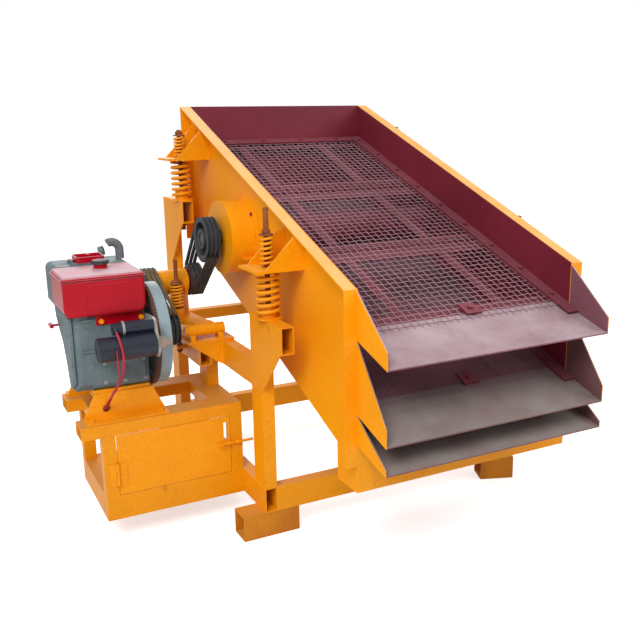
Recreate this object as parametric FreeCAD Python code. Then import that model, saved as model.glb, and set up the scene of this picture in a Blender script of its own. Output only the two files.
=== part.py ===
import FreeCAD, Part
import math
import os
from FreeCAD import Matrix, Rotation, Vector

os.makedirs("parts", exist_ok=True)

# Vibrating sieve driven by a small diesel engine.  Millimetres, +Z up.
# X runs across the machine from the drive side, Y runs uphill from the discharge
# end, and the finished parts are moved so that the origin is the bottom centre.

# Screen box
box_width = 912.0           # over the two side plates
plate = 6.0                 # side, end and chute plates
incline = 20.4              # slope of rim, decks and pan, degrees
rim_front = 1061.0          # height of the rim at the discharge end
box_run = 1597.5            # horizontal length of the box
belly_front = 442.0         # lower edge of the side plates, carried to the front
tongue_depth = 140.0        # lower front tongue of the side plates
tongue_bottom = 355.0
flange = 45.0               # stiffening flange round each side plate
flange_bottom = 452.0
ledge = 50.0                # ledges and clamp bars that grip the screen cloth
hold_down_side = 64.0
hold_down_place = (35.0, 62.0)   # from the middle, and up the deck
bar = 6.0                   # flat bars
clamp_bolt_first = 78.0
clamp_bolts = 9
back_bolt_pitch = 200.0
chute_plate = 5.0
pan_beam_shares = (0.25, 0.74)   # of the deck's length

# Chutes: floor at the front plane, reach, tip bottom, tip top, top of the side walls
upper_chute = (897.0, 190.0, 836.0, 896.0, 1054.0)
middle_chute = (641.0, 184.0, 581.0, 643.0, 885.0)
lower_chute = (533.0, 181.5, 483.0, 507.0, 630.0)
chute_lap = 45.0            # part of a chute floor that lies under the cloth

# Screen cloths
upper_wire = 4.0
upper_pitch = 30.0
lower_wire = 3.0
lower_pitch = 24.0
cross_pipe_radius = 24.0
pipe_shares = (0.35, 0.69)      # of the deck's length
bar_shares = (0.305, 0.625)
bar_width = 60.0
runner_width = 40.0
runner_places = (235.0, 660.0)

# Exciter
exciter_y = 965.0
exciter_z = 1120.0
exciter_tube_radius = 70.0
guard_radius = 150.0
guard_depth = 105.0
guard_wall = 4.0
guard_flange_radius = 166.0
guard_flange = 8.0
guard_bolt_circle = 158.0
lifting_tab = 54.0          # reach of the tab along the shaft
bearing_radius = 62.0
bearing_length = 42.0
shaft_clearance = 10.0      # radial room round the shaft in the guards
exciter_shaft_radius = 25.0
weight_radius = 112.0
weight_thickness = 40.0
weight_cut = 32.0           # flat of the eccentric weight over the shaft axis

# Base frame
tube_tall = 100.0
tube_wide = 50.0
tube_wall = 4.0
frame_gap = 89.0            # between a side plate and the frame
frame_bottom = 100.0        # also the height of the feet
front_post_y = 478.0
rear_post_y = 1538.0
front_beam_top = 886.0
rear_beam_top = 1240.0
front_overhang = 191.0
rear_overhang = 194.0
side_rail_top = 700.0
back_rail_top = 690.0
foot_side = 100.0
foot_wall = 6.0
skew_foot_turn = -21.0
foot_length = 235.0
foot_reach = 92.0           # feet beyond the frame's outer face
skew_foot_length = 149.0
skew_foot_inset = 134.0
beam_gusset_drop = 190.0

# Springs
spring_offset = 114.0       # spring axis from the side plate
front_spring_y = 451.0
rear_spring_y = 1417.0
spring_space = 179.0        # beam top to bracket plate
bracket_reach = 188.0
bracket_width = 171.0
bracket_plate = 10.0
bracket_gusset = 8.0
bracket_lead = 9.0          # bracket's middle uphill of the spring axis
bracket_lip = 35.0          # plate left over outside the gussets
coil_radius = 39.0
coil_wire = 7.0
coil_turns = 6.5
rebound_radius = 21.0
rebound_wire = 5.0
rebound_turns = 6.0
rebound_washer = 5.0
front_rebound_height = 115.0
far_rebound_height = 89.0   # front right, where the rod is cut flush with its nut
rear_rebound_height = 96.0
front_rod_end = 79.0        # rod left over its top nut on the left side
rear_rod_end = 7.0
spring_rod_radius = 10.0
cup_flange_radius = 50.0
cup_flange = 6.0
cup_radius = 30.0
cup_height = 52.0
nut_radius = 17.0
nut_height = 15.0

# Engine stand
stand_left = -697.0
stand_front = 705.0
stand_back = 1160.0
stand_top = 490.0
stand_tube = 50.0
front_rail_end = -772.0
rear_rail_end = -760.0
lower_rail_top = 198.0
door_gap = 2.0
door_sheet = 4.0
door_slot = 14.0
door_knuckle = 30.0
door_pin = 3.0
hinge_radius = 6.0
hinge_leaf = 4.0
hinge_width = 34.0
hinge_stand_off = 6.5       # hinge axis in front of the door
bolt_radius = 5.0
bolt_collar = 8.7
bolt_knob = 4.0
bolt_travel = 20.0
bolt_drop = 112.0           # bolt under the door's upper edge
keeper_bar = 52.0

# Pivot, tension arm and jackshaft
pivot_y = 915.0
pivot_z = 752.0
pivot_tube_radius = 24.0
pivot_pin_radius = 14.0
pivot_left = -244.0
pivot_right = -161.0
pivot_bush = 36.0
pivot_seat = 12.0           # plate under the pivot's bushes
pivot_seat_back = 118.0
pivot_seat_reach = 46.0     # plate beyond the beam's outer face
arm_shoulder = 110.0        # where the arm's blade gets its full width
side_gap = 0.6
arm_plate = 12.0
arm_back_y = 1250.0
jack_y = 1174.0
jack_z = 913.0
jack_radius = 15.0
jack_housing_radius = 54.0
jack_bearing_radius = 36.0
jack_bearing = 22.0         # width of each bearing
jack_housing_left = -322.0
jack_housing_right = -196.0
tension_rod_x = -265.0
tension_rod_y = 1082.0
tension_rod_radius = 8.0
tension_rod_top = 1026.0
tension_spring_radius = 25.0
tension_spring_wire = 4.5
tension_spring_turns = 7.0
tension_spring_bottom = 816.0
tension_spring_top = 921.0
tension_cap = 20.0

# Pulleys and belts
belt_thickness = 9.5
belt_gap = 0.3
pulley_width = 55.0
pulley_grooves = 3
pulley_rim = 22.0
pulley_hub = 16.0           # hub wall round the shaft
engine_pulley_radius = 66.0
driven_sheave_radius = 71.0
drive_pulley_radius = 66.0
exciter_pulley_radius = 88.5
outer_belt_left = -387.0
inner_belt_left = -186.0

# Engine
crank_y = 884.0
crank_z = 779.0
crank_radius = 22.0
flywheel_radius = 200.0
flywheel_left = -454.0
flywheel_width = 44.0
flywheel_rim = 34.0         # depth of the rim, measured inwards
ring_gear_tooth = 5.0
ring_gear_width = 12.0
ring_gear_teeth = 96
case_left = -757.0
case_right = -485.0
case_front = 775.0
case_back = 1120.0
case_bottom = 605.0
case_top = 900.0
case_wall = 14.0
case_corner = 28.0
gear_case = 57.0            # depth of the timing-gear side of the crankcase
gear_cover = 12.0
gear_cover_margin = 8.0
side_cover = 12.0
side_cover_left = -661.0
side_cover_right = -497.0
side_cover_low = 23.0       # its lower and upper edge over the bottom of the case
side_cover_high = 115.0
cylinder_left = -690.0
cylinder_right = -500.0
cylinder_length = 80.0
head_length = 75.0
tank_left = -785.0
tank_right = -485.0
tank_front = 745.0
tank_back = 990.0
tank_top = 1050.0
tank_wall = 3.0
tank_corner = 28.0
tank_edge = 9.0
tank_seam = 5.0             # seam flange proud of the tank's sides
tank_lid_height = 15.0
filler_x = -611.0
filler_y = 907.0
filler_radius = 26.0
filler_height = 16.0
tank_cap_radius = 34.0
tank_cap_height = 14.0
hopper_left = -775.0
hopper_right = -472.0
hopper_front = 1000.0
hopper_back = 1175.0
hopper_wall = 8.0
hopper_corner = 26.0
hopper_lid_left = -682.0
hopper_lid_right = -572.0
hopper_lid_front = 1000.0
hopper_lid_back = 1104.0
hopper_lid_height = 22.0
hopper_lid_wall = 5.0
hopper_frame = 8.0          # frame under the lid, and its margin
hinge_offset = 12.0         # lid's hinge axis from its left edge
hinge_rise = 14.0
hinge_knuckle = 12.0
hinge_pin = 2.5
exhaust_x = -490.0
exhaust_y = 1100.0
exhaust_radius = 17.0
exhaust_wall = 3.0
exhaust_rise = 36.0
exhaust_bend = 32.0
exhaust_turn = 120.0
whistle_x = -556.0
whistle_y = 1130.0
starter_y = crank_y - flywheel_radius - 34.0
starter_z = 794.0
starter_radius = 45.0
starter_left = -698.0
starter_flange = -487.0
flange_sheet = 10.0
nose_length = 47.0
solenoid_y = starter_y + 18.0
solenoid_z = 862.0
solenoid_radius = 25.0
foot_plate = 12.0
mount_sheet = 8.0
mount_left = -745.0
mount_right = -430.0
mount_taper = 42.0
mount_flange = 58.0
mount_bolt_inset = 24.0
decompression_y = 1000.0
decompression_z = 826.0
decompression_reach = 60.0

# Starter cables: each route as corner points, run from its terminal to the stand
cable_radius = 5.0
wire_radius = 2.5
terminal_radius = 4.0
cable_hole = (-658.0, 532.0, 15.0)
starter_cable = ((-628.0, starter_y - 14.0, 856.0), (-620.0, starter_y - 53.0, 812.0),
                 (-617.0, starter_y - 54.0, 756.0), (-622.0, starter_y - 40.0, 700.0),
                 (-634.0, starter_y, 652.0), (-646.0, 700.0, 608.0),
                 (-653.0, 748.0, 558.0), (-655.0, 796.0, 516.0))
starter_wire = ((-640.0, starter_y - 54.0, 802.0), (-640.0, starter_y - 54.0, 754.0),
                (-636.0, starter_y - 50.0, 704.0), (-638.0, starter_y - 26.0, 660.0),
                (-648.0, starter_y + 10.0, 622.0), (-658.0, 704.0, 590.0),
                (-664.0, 744.0, 554.0), (-665.0, 786.0, 520.0))

# Clearances
seat_gap = 0.3              # parts of different bodies that meet
hole_gap = 0.5              # holes round a rod of the same body
running_fit = 0.05          # shafts and pins in their bores

slope = math.tan(math.radians(incline))
slope_cos = math.cos(math.radians(incline))
slope_sin = math.sin(math.radians(incline))
far = box_width
frame_left = -frame_gap - tube_wide
frame_right = box_width + frame_gap + tube_wide
deck_length = (box_run - plate) / slope_cos - 10.0
clamp_bolt_pitch = (deck_length - clamp_bolt_first - ledge) / (clamp_bolts - 1)
pipe_stations = [share * deck_length for share in pipe_shares]
bar_stations = [share * deck_length for share in bar_shares]
lid_bottom = tank_top + hopper_frame + seat_gap

X = Vector(1, 0, 0)
Y = Vector(0, 1, 0)
Z = Vector(0, 0, 1)

nodes = {}


def keep(node, *shapes):
    """Adds every solid of the shapes to a node."""
    solids = nodes.setdefault(node, [])
    for shape in shapes:
        solids.extend(shape.Solids)


def block(x0, x1, y0, y1, z0, z1):
    return Part.makeBox(x1 - x0, y1 - y0, z1 - z0, Vector(x0, y0, z0))


def tube_x(x0, x1, y0, y1, z0, z1, wall=tube_wall):
    inner = block(x0, x1, y0 + wall, y1 - wall, z0 + wall, z1 - wall)
    return block(x0, x1, y0, y1, z0, z1).cut(inner)


def tube_y(x0, x1, y0, y1, z0, z1, wall=tube_wall):
    inner = block(x0 + wall, x1 - wall, y0, y1, z0 + wall, z1 - wall)
    return block(x0, x1, y0, y1, z0, z1).cut(inner)


def tube_z(x0, x1, y0, y1, z0, z1, wall=tube_wall):
    inner = block(x0 + wall, x1 - wall, y0 + wall, y1 - wall, z0, z1)
    return block(x0, x1, y0, y1, z0, z1).cut(inner)


def rod(x, y, z, axis, radius, length):
    return Part.makeCylinder(radius, length, Vector(x, y, z), axis)


def ring(x, y, z, axis, outer, inner, length):
    return rod(x, y, z, axis, outer, length).cut(rod(x, y, z, axis, inner, length))


def prism(points, direction):
    face = Part.Face(Part.makePolygon(points + points[:1]))
    return face.extrude(direction)


def plate_yz(outline, x0, x1):
    return prism([Vector(x0, y, z) for y, z in outline], X * (x1 - x0))


def plate_xz(outline, y0, y1):
    return prism([Vector(x, y0, z) for x, z in outline], Y * (y1 - y0))


def plate_xy(outline, z0, z1):
    return prism([Vector(x, y, z0) for x, y in outline], Z * (z1 - z0))


def polygon_rod(x, y, z, axis, radius, height, sides):
    """Bar with a regular outline, its base at the given point."""
    corners = [Vector(radius * math.cos(a), radius * math.sin(a), 0)
               for a in (2 * math.pi * k / sides for k in range(sides))]
    body = prism(corners, Z * height)
    body.Placement = FreeCAD.Placement(Vector(x, y, z), Rotation(Z, axis))
    return body


def hexagon(x, y, z, axis, radius, height):
    """Hexagonal nut or bolt head with its base at the given point."""
    return polygon_rod(x, y, z, axis, radius, height, 6)


def mirrored(shape):
    """The same piece on the other side of the machine."""
    return shape.mirror(Vector(box_width / 2, 0, 0), X)


def both_sides(shape):
    return [shape, mirrored(shape)]


def rounded(shape, radius, direction):
    """Rounds the straight edges that run along a direction."""
    edges = []
    for edge in shape.Edges:
        if len(edge.Vertexes) == 2:
            run = edge.Vertexes[1].Point - edge.Vertexes[0].Point
            if run.cross(direction).Length < 1e-6 * run.Length:
                edges.append(edge)
    return shape.makeFillet(radius, edges)


def edges_at(shape, **place):
    """Edges that lie wholly at the given x, y or z."""
    found = []
    for edge in shape.Edges:
        box = edge.BoundBox
        spans = {"x": (box.XMin, box.XMax), "y": (box.YMin, box.YMax), "z": (box.ZMin, box.ZMax)}
        if all(max(abs(end - value) for end in spans[axis]) < 0.01
               for axis, value in place.items()):
            found.append(edge)
    return found


def tilted(shape, height):
    """Turns a deck that was laid out flat to the box's slope, at a height at the front plane."""
    return shape.rotated(Vector(0, 0, 0), X, incline).translated(Vector(0, 0, height))


def rim_height(y):
    return rim_front + y * slope


def belly_height(y):
    return belly_front + y * slope


def coil(x, y, z, radius, wire, turns, height):
    """Helical spring: a six-sided wire swept round a helix in short straight steps."""
    steps = 12
    rise = (height - 2 * wire) / (turns * steps)
    count = int(round(turns * steps))
    turn = 2 * math.pi / steps
    path = [Vector(radius * math.cos(k * turn), radius * math.sin(k * turn), wire + k * rise)
            for k in range(count + 1)]
    start = path[1] - path[0]
    section = [Vector(wire * math.cos(math.radians(60 * k + 30)),
                      wire * math.sin(math.radians(60 * k + 30)), 0) for k in range(6)]
    turned = Rotation(Z, start)
    corners = [path[0] + turned.multVec(corner) for corner in section]
    profile = Part.makePolygon(corners + corners[:1])
    solid = Part.makePolygon(path).makePipeShell([profile], True, False, 1)
    return solid.translated(Vector(x, y, z))


# --------------------------------------------------------------- screen box

def side_plate():
    outline = [(0, tongue_bottom), (tongue_depth, tongue_bottom),
               (tongue_depth, belly_height(tongue_depth)), (box_run, belly_height(box_run)),
               (box_run, rim_height(box_run)), (0, rim_front)]
    opening = rod(0, exciter_y, exciter_z, X, exciter_shaft_radius + 2 * shaft_clearance,
                  plate)
    return plate_yz(outline, 0, plate).cut(opening)


def side_flanges():
    """Flange along the rim and down both ends of a side plate."""
    drop = bar / slope_cos
    rim = plate_yz([(0, rim_front - drop), (box_run, rim_height(box_run) - drop),
                    (box_run, rim_height(box_run)), (0, rim_front)], -flange, 0)
    front = plate_yz([(0, flange_bottom), (bar, flange_bottom),
                      (bar, rim_height(bar) - drop), (0, rim_front - drop)], -flange, 0)
    back = plate_yz([(box_run - bar, belly_height(box_run)), (box_run, belly_height(box_run)),
                     (box_run, rim_height(box_run) - drop),
                     (box_run - bar, rim_height(box_run - bar) - drop)], -flange, 0)
    return [rim, front, back]


def make_box_plates():
    keep("side_plates", *both_sides(side_plate()))
    for piece in side_flanges():
        keep("rim_flanges", *both_sides(piece))
    keep("end_plates", block(plate, far - plate, box_run - plate, box_run,
                             belly_height(box_run), rim_height(box_run)))
    floor = lower_chute[0] - chute_plate
    keep("end_plates", block(plate, far - plate, 0, plate, tongue_bottom, floor))


def make_chute(node, sizes):
    floor, reach, tip_bottom, tip_top, wall_top = sizes
    under = floor - chute_plate
    wall = plate_yz([(0, wall_top), (-reach, tip_top), (-reach, tip_bottom), (0, under)], 0, plate)
    lap = chute_lap * slope
    panel = plate_yz([(-reach, tip_bottom + chute_plate), (0, floor), (chute_lap, floor + lap),
                      (chute_lap, under + lap), (0, under), (-reach, tip_bottom)],
                     plate, far - plate)
    keep(node, panel, *both_sides(wall))


def mesh_wires(pitch, wire):
    """Two touching layers of straight wires, laid flat with the joint plane at zero height."""
    inset = plate + 2
    span = far - 2 * inset
    start = 2.0
    length = deck_length - start
    along = int((span - wire) // pitch)
    side = (span - along * pitch - wire) / 2
    wires = [block(inset + side + k * pitch, inset + side + k * pitch + wire,
                   start, deck_length, -wire, 0) for k in range(along + 1)]
    across = int((length - wire) // pitch)
    end = (length - across * pitch - wire) / 2
    wires += [block(inset, far - inset, start + end + k * pitch,
                    start + end + k * pitch + wire, 0, wire) for k in range(across + 1)]
    return wires


def deck_frame(wire):
    """Ledges, cross pipes with wear strips, cross bars and runners under a cloth."""
    top = -wire
    under = top - bar
    first = chute_lap / slope_cos + bar
    inner = plate + ledge
    pieces = [block(plate, inner, first, deck_length, under, top),
              block(far - inner, far - plate, first, deck_length, under, top)]
    for station in pipe_stations:
        axis = under - cross_pipe_radius
        pieces.append(ring(plate, station, axis, X, cross_pipe_radius,
                           cross_pipe_radius - tube_wall, far - 2 * plate))
        pieces.append(block(inner, far - inner, station - 15, station + 15, under, top))
    half = bar_width / 2
    for station in bar_stations:
        pieces.append(block(plate, far - plate, station - half, station + half,
                            under - bar, under))
    clear = cross_pipe_radius + bar
    bays = ((first, bar_stations[0] - half),
            (pipe_stations[0] + clear, bar_stations[1] - half),
            (pipe_stations[1] + clear, deck_length))
    for low, high in bays:
        for place in runner_places:
            pieces.append(block(place - runner_width / 2, place + runner_width / 2,
                                low, high, under - bar, under))
    pieces.append(block(plate, far - plate, first, first + bar_width, under - 2 * bar, under - bar))
    pieces.append(block(plate, far - plate, deck_length - bar_width, deck_length,
                        under - 2 * bar, under - bar))
    return pieces


def clamp_bars(wire):
    """Side clamp bars, the feed-end clamp bar and the bolts that hold them."""
    top = wire + bar
    inner = plate + ledge
    sides = [block(plate, inner, -ledge, deck_length, wire, top),
             block(far - inner, far - plate, -ledge, deck_length, wire, top)]
    back = block(inner, far - inner, deck_length - ledge, deck_length, wire, top)
    middle = plate + ledge / 2
    bolts = []
    for k in range(clamp_bolts):
        station = clamp_bolt_first + k * clamp_bolt_pitch
        for place in (middle, far - middle):
            bolts.append(hexagon(place, station, top, Z, 10.0, 7.0))
    for k in range(4):
        place = far / 2 + (k - 1.5) * back_bolt_pitch
        bolts.append(hexagon(place, deck_length - ledge / 2, top, Z, 10.0, 7.0))
    return sides + [back], bolts


def hold_down(wire):
    """Square plate with a bolt that holds the middle of the cloth near its front end."""
    half = hold_down_side / 2
    centre = far / 2 + hold_down_place[0]
    station = hold_down_place[1]
    top = wire + bar
    washer = block(centre - half, centre + half, station - half, station + half, wire, top)
    return washer, hexagon(centre, station, top, Z, 12.0, 9.0)


def make_deck(name, chute, pitch, wire):
    height = chute[0] + wire / slope_cos
    for piece in mesh_wires(pitch, wire):
        keep(name + "_mesh", tilted(piece, height))
    for piece in deck_frame(wire):
        keep(name + "_deck_frame", tilted(piece, height))
    bars, bolts = clamp_bars(wire)
    washer, nut = hold_down(wire)
    for piece in bars + [washer]:
        keep("mesh_clamps", tilted(piece, height))
    for piece in bolts + [nut]:
        keep("box_bolts", tilted(piece, height))


def make_pan():
    first = chute_lap / slope_cos
    pan = block(plate, far - plate, first, deck_length, -chute_plate, 0)
    keep("bottom_pan", tilted(pan, lower_chute[0]))
    for share in pan_beam_shares:
        station = share * deck_length
        beam = tube_x(plate, far - plate, station, station + tube_wide,
                      -chute_plate - tube_wide, -chute_plate)
        keep("bottom_pan", tilted(beam, lower_chute[0]))


def bracket(spring_y, plate_bottom):
    """Plate that rests on a spring, with two gussets that rise to the side plate."""
    low_y = spring_y - bracket_width / 2 + bracket_lead
    high_y = low_y + bracket_width
    top = plate_bottom + bracket_plate
    base = block(-bracket_reach, 0, low_y, high_y, plate_bottom, top)
    base = base.cut(rod(-spring_offset, spring_y, plate_bottom, Z,
                        spring_rod_radius + 5, bracket_plate))
    crest = rim_height(low_y) - bar / slope_cos - 2
    outline = [(-bracket_reach + bracket_lip, top), (0, top), (0, crest), (-flange + 10, crest)]
    pieces = [base]
    for low in (low_y, high_y - bracket_gusset):
        pieces.append(plate_xz(outline, low, low + bracket_gusset))
    return pieces


def make_brackets():
    for spring_y, beam_top in ((front_spring_y, front_beam_top), (rear_spring_y, rear_beam_top)):
        for piece in bracket(spring_y, beam_top + spring_space):
            keep("spring_brackets", *both_sides(piece))


def exciter_guard():
    """Drum that covers an eccentric weight, with its bolting flange and lifting tab."""
    drum = rod(-guard_depth, exciter_y, exciter_z, X, guard_radius, guard_depth)
    space = rod(-guard_depth + guard_wall, exciter_y, exciter_z, X,
                guard_radius - guard_wall, guard_depth - guard_wall)
    shaft_hole = rod(-guard_depth, exciter_y, exciter_z, X,
                     exciter_shaft_radius + shaft_clearance, guard_wall)
    collar = ring(-guard_flange, exciter_y, exciter_z, X, guard_flange_radius,
                  guard_radius - guard_wall, guard_flange)
    tab_y = exciter_y - guard_radius * 0.92
    tab_z = exciter_z - guard_radius / 2
    tab = block(-guard_flange - lifting_tab, -guard_flange, tab_y - 32, tab_y + 30,
                tab_z, tab_z + guard_flange)
    tab = tab.cut(rod(-guard_flange - lifting_tab / 2, tab_y - 14, tab_z, Z, 6.0, guard_flange))
    inside = rod(-guard_depth, exciter_y, exciter_z, X, guard_radius - 1, guard_depth)
    return drum.cut(space).cut(shaft_hole).fuse(collar).fuse(tab.cut(inside)).removeSplitter()


def make_exciter():
    keep("exciter_guards", *both_sides(exciter_guard()))
    for angle in (50, 140, 230, 320):
        turn = math.radians(angle)
        y = exciter_y + guard_bolt_circle * math.cos(turn)
        z = exciter_z + guard_bolt_circle * math.sin(turn)
        keep("box_bolts", *both_sides(hexagon(-guard_flange, y, z, -X, 7.5, 6.0)))
    keep("exciter_tube", ring(plate, exciter_y, exciter_z, X, exciter_tube_radius,
                              exciter_tube_radius - plate, far - 2 * plate))
    bore = exciter_shaft_radius + running_fit
    bearing = ring(-bearing_length, exciter_y, exciter_z, X, bearing_radius, bore, bearing_length)
    keep("exciter_tube", *both_sides(bearing))
    end = -inner_belt_left - 5
    keep("exciter_shaft", rod(-end, exciter_y, exciter_z, X, exciter_shaft_radius,
                              end + far + guard_depth - 12))
    disc = rod(-guard_depth + 14, exciter_y, exciter_z, X, weight_radius, weight_thickness)
    upper = block(-guard_depth, 0, exciter_y - weight_radius, exciter_y + weight_radius,
                  exciter_z + weight_cut, exciter_z + weight_radius)
    weight = disc.cut(upper).cut(rod(-guard_depth, exciter_y, exciter_z, X,
                                     exciter_shaft_radius, guard_depth))
    keep("exciter_shaft", *both_sides(weight))


# --------------------------------------------------------------- base frame

def make_floor_frame():
    z0 = frame_bottom
    z1 = frame_bottom + tube_tall
    back = rear_post_y + tube_tall
    rail = tube_y(frame_left, frame_left + tube_wide, front_post_y, back, z0, z1)
    keep("floor_frame", *both_sides(rail))
    inner = frame_left + tube_wide
    for y in (front_post_y, back - tube_wide):
        keep("floor_frame", tube_x(inner, far - inner, y, y + tube_wide, z0, z1))


def make_feet():
    length = foot_length
    low = frame_left - foot_reach
    front = tube_x(low, low + length, front_post_y, front_post_y + foot_side, 0, frame_bottom,
                   foot_wall)
    rear = tube_x(low, low + length, rear_post_y, rear_post_y + foot_side, 0, frame_bottom,
                  foot_wall)
    skew = tube_x(0, skew_foot_length, 0, foot_side, 0, frame_bottom, foot_wall)
    skew = skew.rotated(Vector(0, 0, 0), Z, skew_foot_turn)
    skew = skew.translated(Vector(frame_right - skew_foot_inset, front_post_y + foot_side / 5, 0))
    keep("feet", front, rear, skew, mirrored(rear))


def make_posts():
    base = frame_bottom + tube_tall
    for y, beam_top in ((front_post_y, front_beam_top), (rear_post_y, rear_beam_top)):
        post = tube_z(frame_left, frame_left + tube_wide, y, y + tube_tall, base,
                      beam_top - tube_tall)
        keep("corner_posts", *both_sides(post))


def spring_beam(post_y, spring_y, overhang, beam_top):
    beam = tube_y(frame_left, frame_left + tube_wide, post_y - overhang, post_y + tube_tall,
                  beam_top - tube_tall, beam_top)
    return beam.cut(rod(-spring_offset, spring_y, beam_top - tube_tall, Z,
                        spring_rod_radius + hole_gap, tube_tall))


def make_spring_beams():
    for post_y, spring_y, overhang, top in (
            (front_post_y, front_spring_y, front_overhang, front_beam_top),
            (rear_post_y, rear_spring_y, rear_overhang, rear_beam_top)):
        keep("spring_beams", *both_sides(spring_beam(post_y, spring_y, overhang, top)))
        low = top - tube_tall
        gusset = plate_yz([(post_y, low), (post_y - overhang + 14, low),
                           (post_y, low - beam_gusset_drop)],
                          frame_left, frame_left + bar)
        keep("spring_beams", *both_sides(gusset))


def make_rails():
    z1 = side_rail_top
    rail = tube_y(frame_left, frame_left + tube_wide, front_post_y + tube_tall, rear_post_y,
                  z1 - tube_tall, z1)
    keep("frame_rails", *both_sides(rail))
    inner = frame_left + tube_wide
    keep("frame_rails", tube_x(inner, far - inner, rear_post_y, rear_post_y + tube_wide,
                             back_rail_top - tube_wide, back_rail_top))


# ------------------------------------------------------------------- springs

def rebound_set(spring_y, beam_top, height, rod_end):
    """Rebound spring on the bracket and the rod through the whole stack, on the left side."""
    x = -spring_offset
    low = beam_top - tube_tall - 2 * nut_height - bar
    top = beam_top + spring_space + bracket_plate
    crest = top + height
    nut = crest + rebound_washer
    spring = coil(x, spring_y, top + seat_gap, rebound_radius, rebound_wire, rebound_turns,
                  height - seat_gap)
    bolt = rod(x, spring_y, low, Z, spring_rod_radius, nut + nut_height + rod_end - low)
    lower = hexagon(x, spring_y, beam_top - tube_tall - nut_height, Z, nut_radius, nut_height)
    washer = rod(x, spring_y, crest, Z, rebound_radius + rebound_wire, rebound_washer)
    upper = hexagon(x, spring_y, nut, Z, nut_radius, nut_height)
    return spring, bolt.fuse([lower, washer, upper]).removeSplitter()


def make_spring_set(spring_y, beam_top, near, distant, place):
    """Main springs, seats, rebound springs and rods; near and distant are the left and
    right side's rebound height and rod end."""
    x = -spring_offset
    seat = beam_top + cup_flange
    main = coil(x, spring_y, seat, coil_radius, coil_wire, coil_turns,
                beam_top + spring_space - seat - seat_gap)
    keep("main_springs_" + place, *both_sides(main))
    bore = spring_rod_radius + hole_gap
    cup = rod(x, spring_y, beam_top, Z, cup_flange_radius, cup_flange)
    cup = cup.fuse(rod(x, spring_y, beam_top, Z, cup_radius, cup_height))
    cup = cup.cut(rod(x, spring_y, beam_top, Z, bore, cup_height)).removeSplitter()
    keep("spring_cups", *both_sides(cup))
    spring, whole = rebound_set(spring_y, beam_top, *near)
    keep("rebound_springs_" + place, spring)
    keep("spring_rods", whole)
    spring, whole = rebound_set(spring_y, beam_top, *distant)
    keep("rebound_springs_" + place, mirrored(spring))
    keep("spring_rods", mirrored(whole))


def make_springs():
    make_spring_set(front_spring_y, front_beam_top, (front_rebound_height, front_rod_end),
                    (far_rebound_height, 0.0), "front")
    make_spring_set(rear_spring_y, rear_beam_top, (rear_rebound_height, rear_rod_end),
                    (rear_rebound_height, 0.0), "rear")


# -------------------------------------------------------------- engine stand

def make_stand():
    right = frame_left
    z0 = frame_bottom
    z1 = stand_top
    side = stand_tube
    wide = tube_tall
    keep("stand_frame",
         tube_x(front_rail_end, right, stand_front, stand_front + wide, z1 - side, z1),
         tube_x(rear_rail_end, right, stand_back - wide, stand_back, z1 - side, z1))
    for low in (stand_left, right - wide):
        keep("stand_frame", tube_y(low, low + wide, stand_front + wide, stand_back - wide,
                                   z1 - side, z1))
    for x in (stand_left, right - side):
        for y in (stand_front, stand_back - side):
            keep("stand_frame", tube_z(x, x + side, y, y + side, z0, z1 - side))
        keep("stand_frame", tube_y(x, x + side, stand_front + side, stand_back - side,
                                   z0, lower_rail_top))
    for y in (stand_front, stand_back - side):
        keep("stand_frame", tube_x(stand_left + side, right - side, y, y + side,
                                   z0, lower_rail_top))
    keep("stand_floor", block(stand_left + side, right - side, stand_front + side,
                              stand_back - side, lower_rail_top - bar, lower_rail_top))


def door_hinge(axis_x, low):
    """Butt hinge: the door's leaf and knuckle, and the fixed leaf with its pin."""
    axis_y = stand_front - hinge_stand_off
    knuckle = door_knuckle
    top = low + 3 * knuckle
    link_y = stand_front - hinge_leaf
    middle = low + knuckle + hole_gap
    end = low + 2 * knuckle - hole_gap
    leaf = block(axis_x + hinge_radius, axis_x + hinge_width, link_y, stand_front, low, top)
    barrel = rod(axis_x, axis_y, middle, Z, hinge_radius, end - middle)
    link = block(axis_x, axis_x + hinge_radius + 2, link_y - 2, link_y + 1, middle, end)
    bore = rod(axis_x, axis_y, low, Z, door_pin + running_fit, 3 * knuckle)
    moving = leaf.fuse([barrel, link]).cut(bore)
    fixed = block(axis_x - hinge_width, axis_x - hinge_radius - hole_gap, link_y, stand_front,
                  low, top)
    for start in (low, low + 2 * knuckle):
        part = rod(axis_x, axis_y, start, Z, hinge_radius, knuckle)
        tie = block(axis_x - hinge_radius - 2, axis_x, link_y - 2, link_y + 1, start,
                    start + knuckle)
        fixed = fixed.fuse([part, tie])
    pin = rod(axis_x, axis_y, low, Z, door_pin, 3 * knuckle)
    return moving, fixed.cut(pin).removeSplitter(), pin


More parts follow.
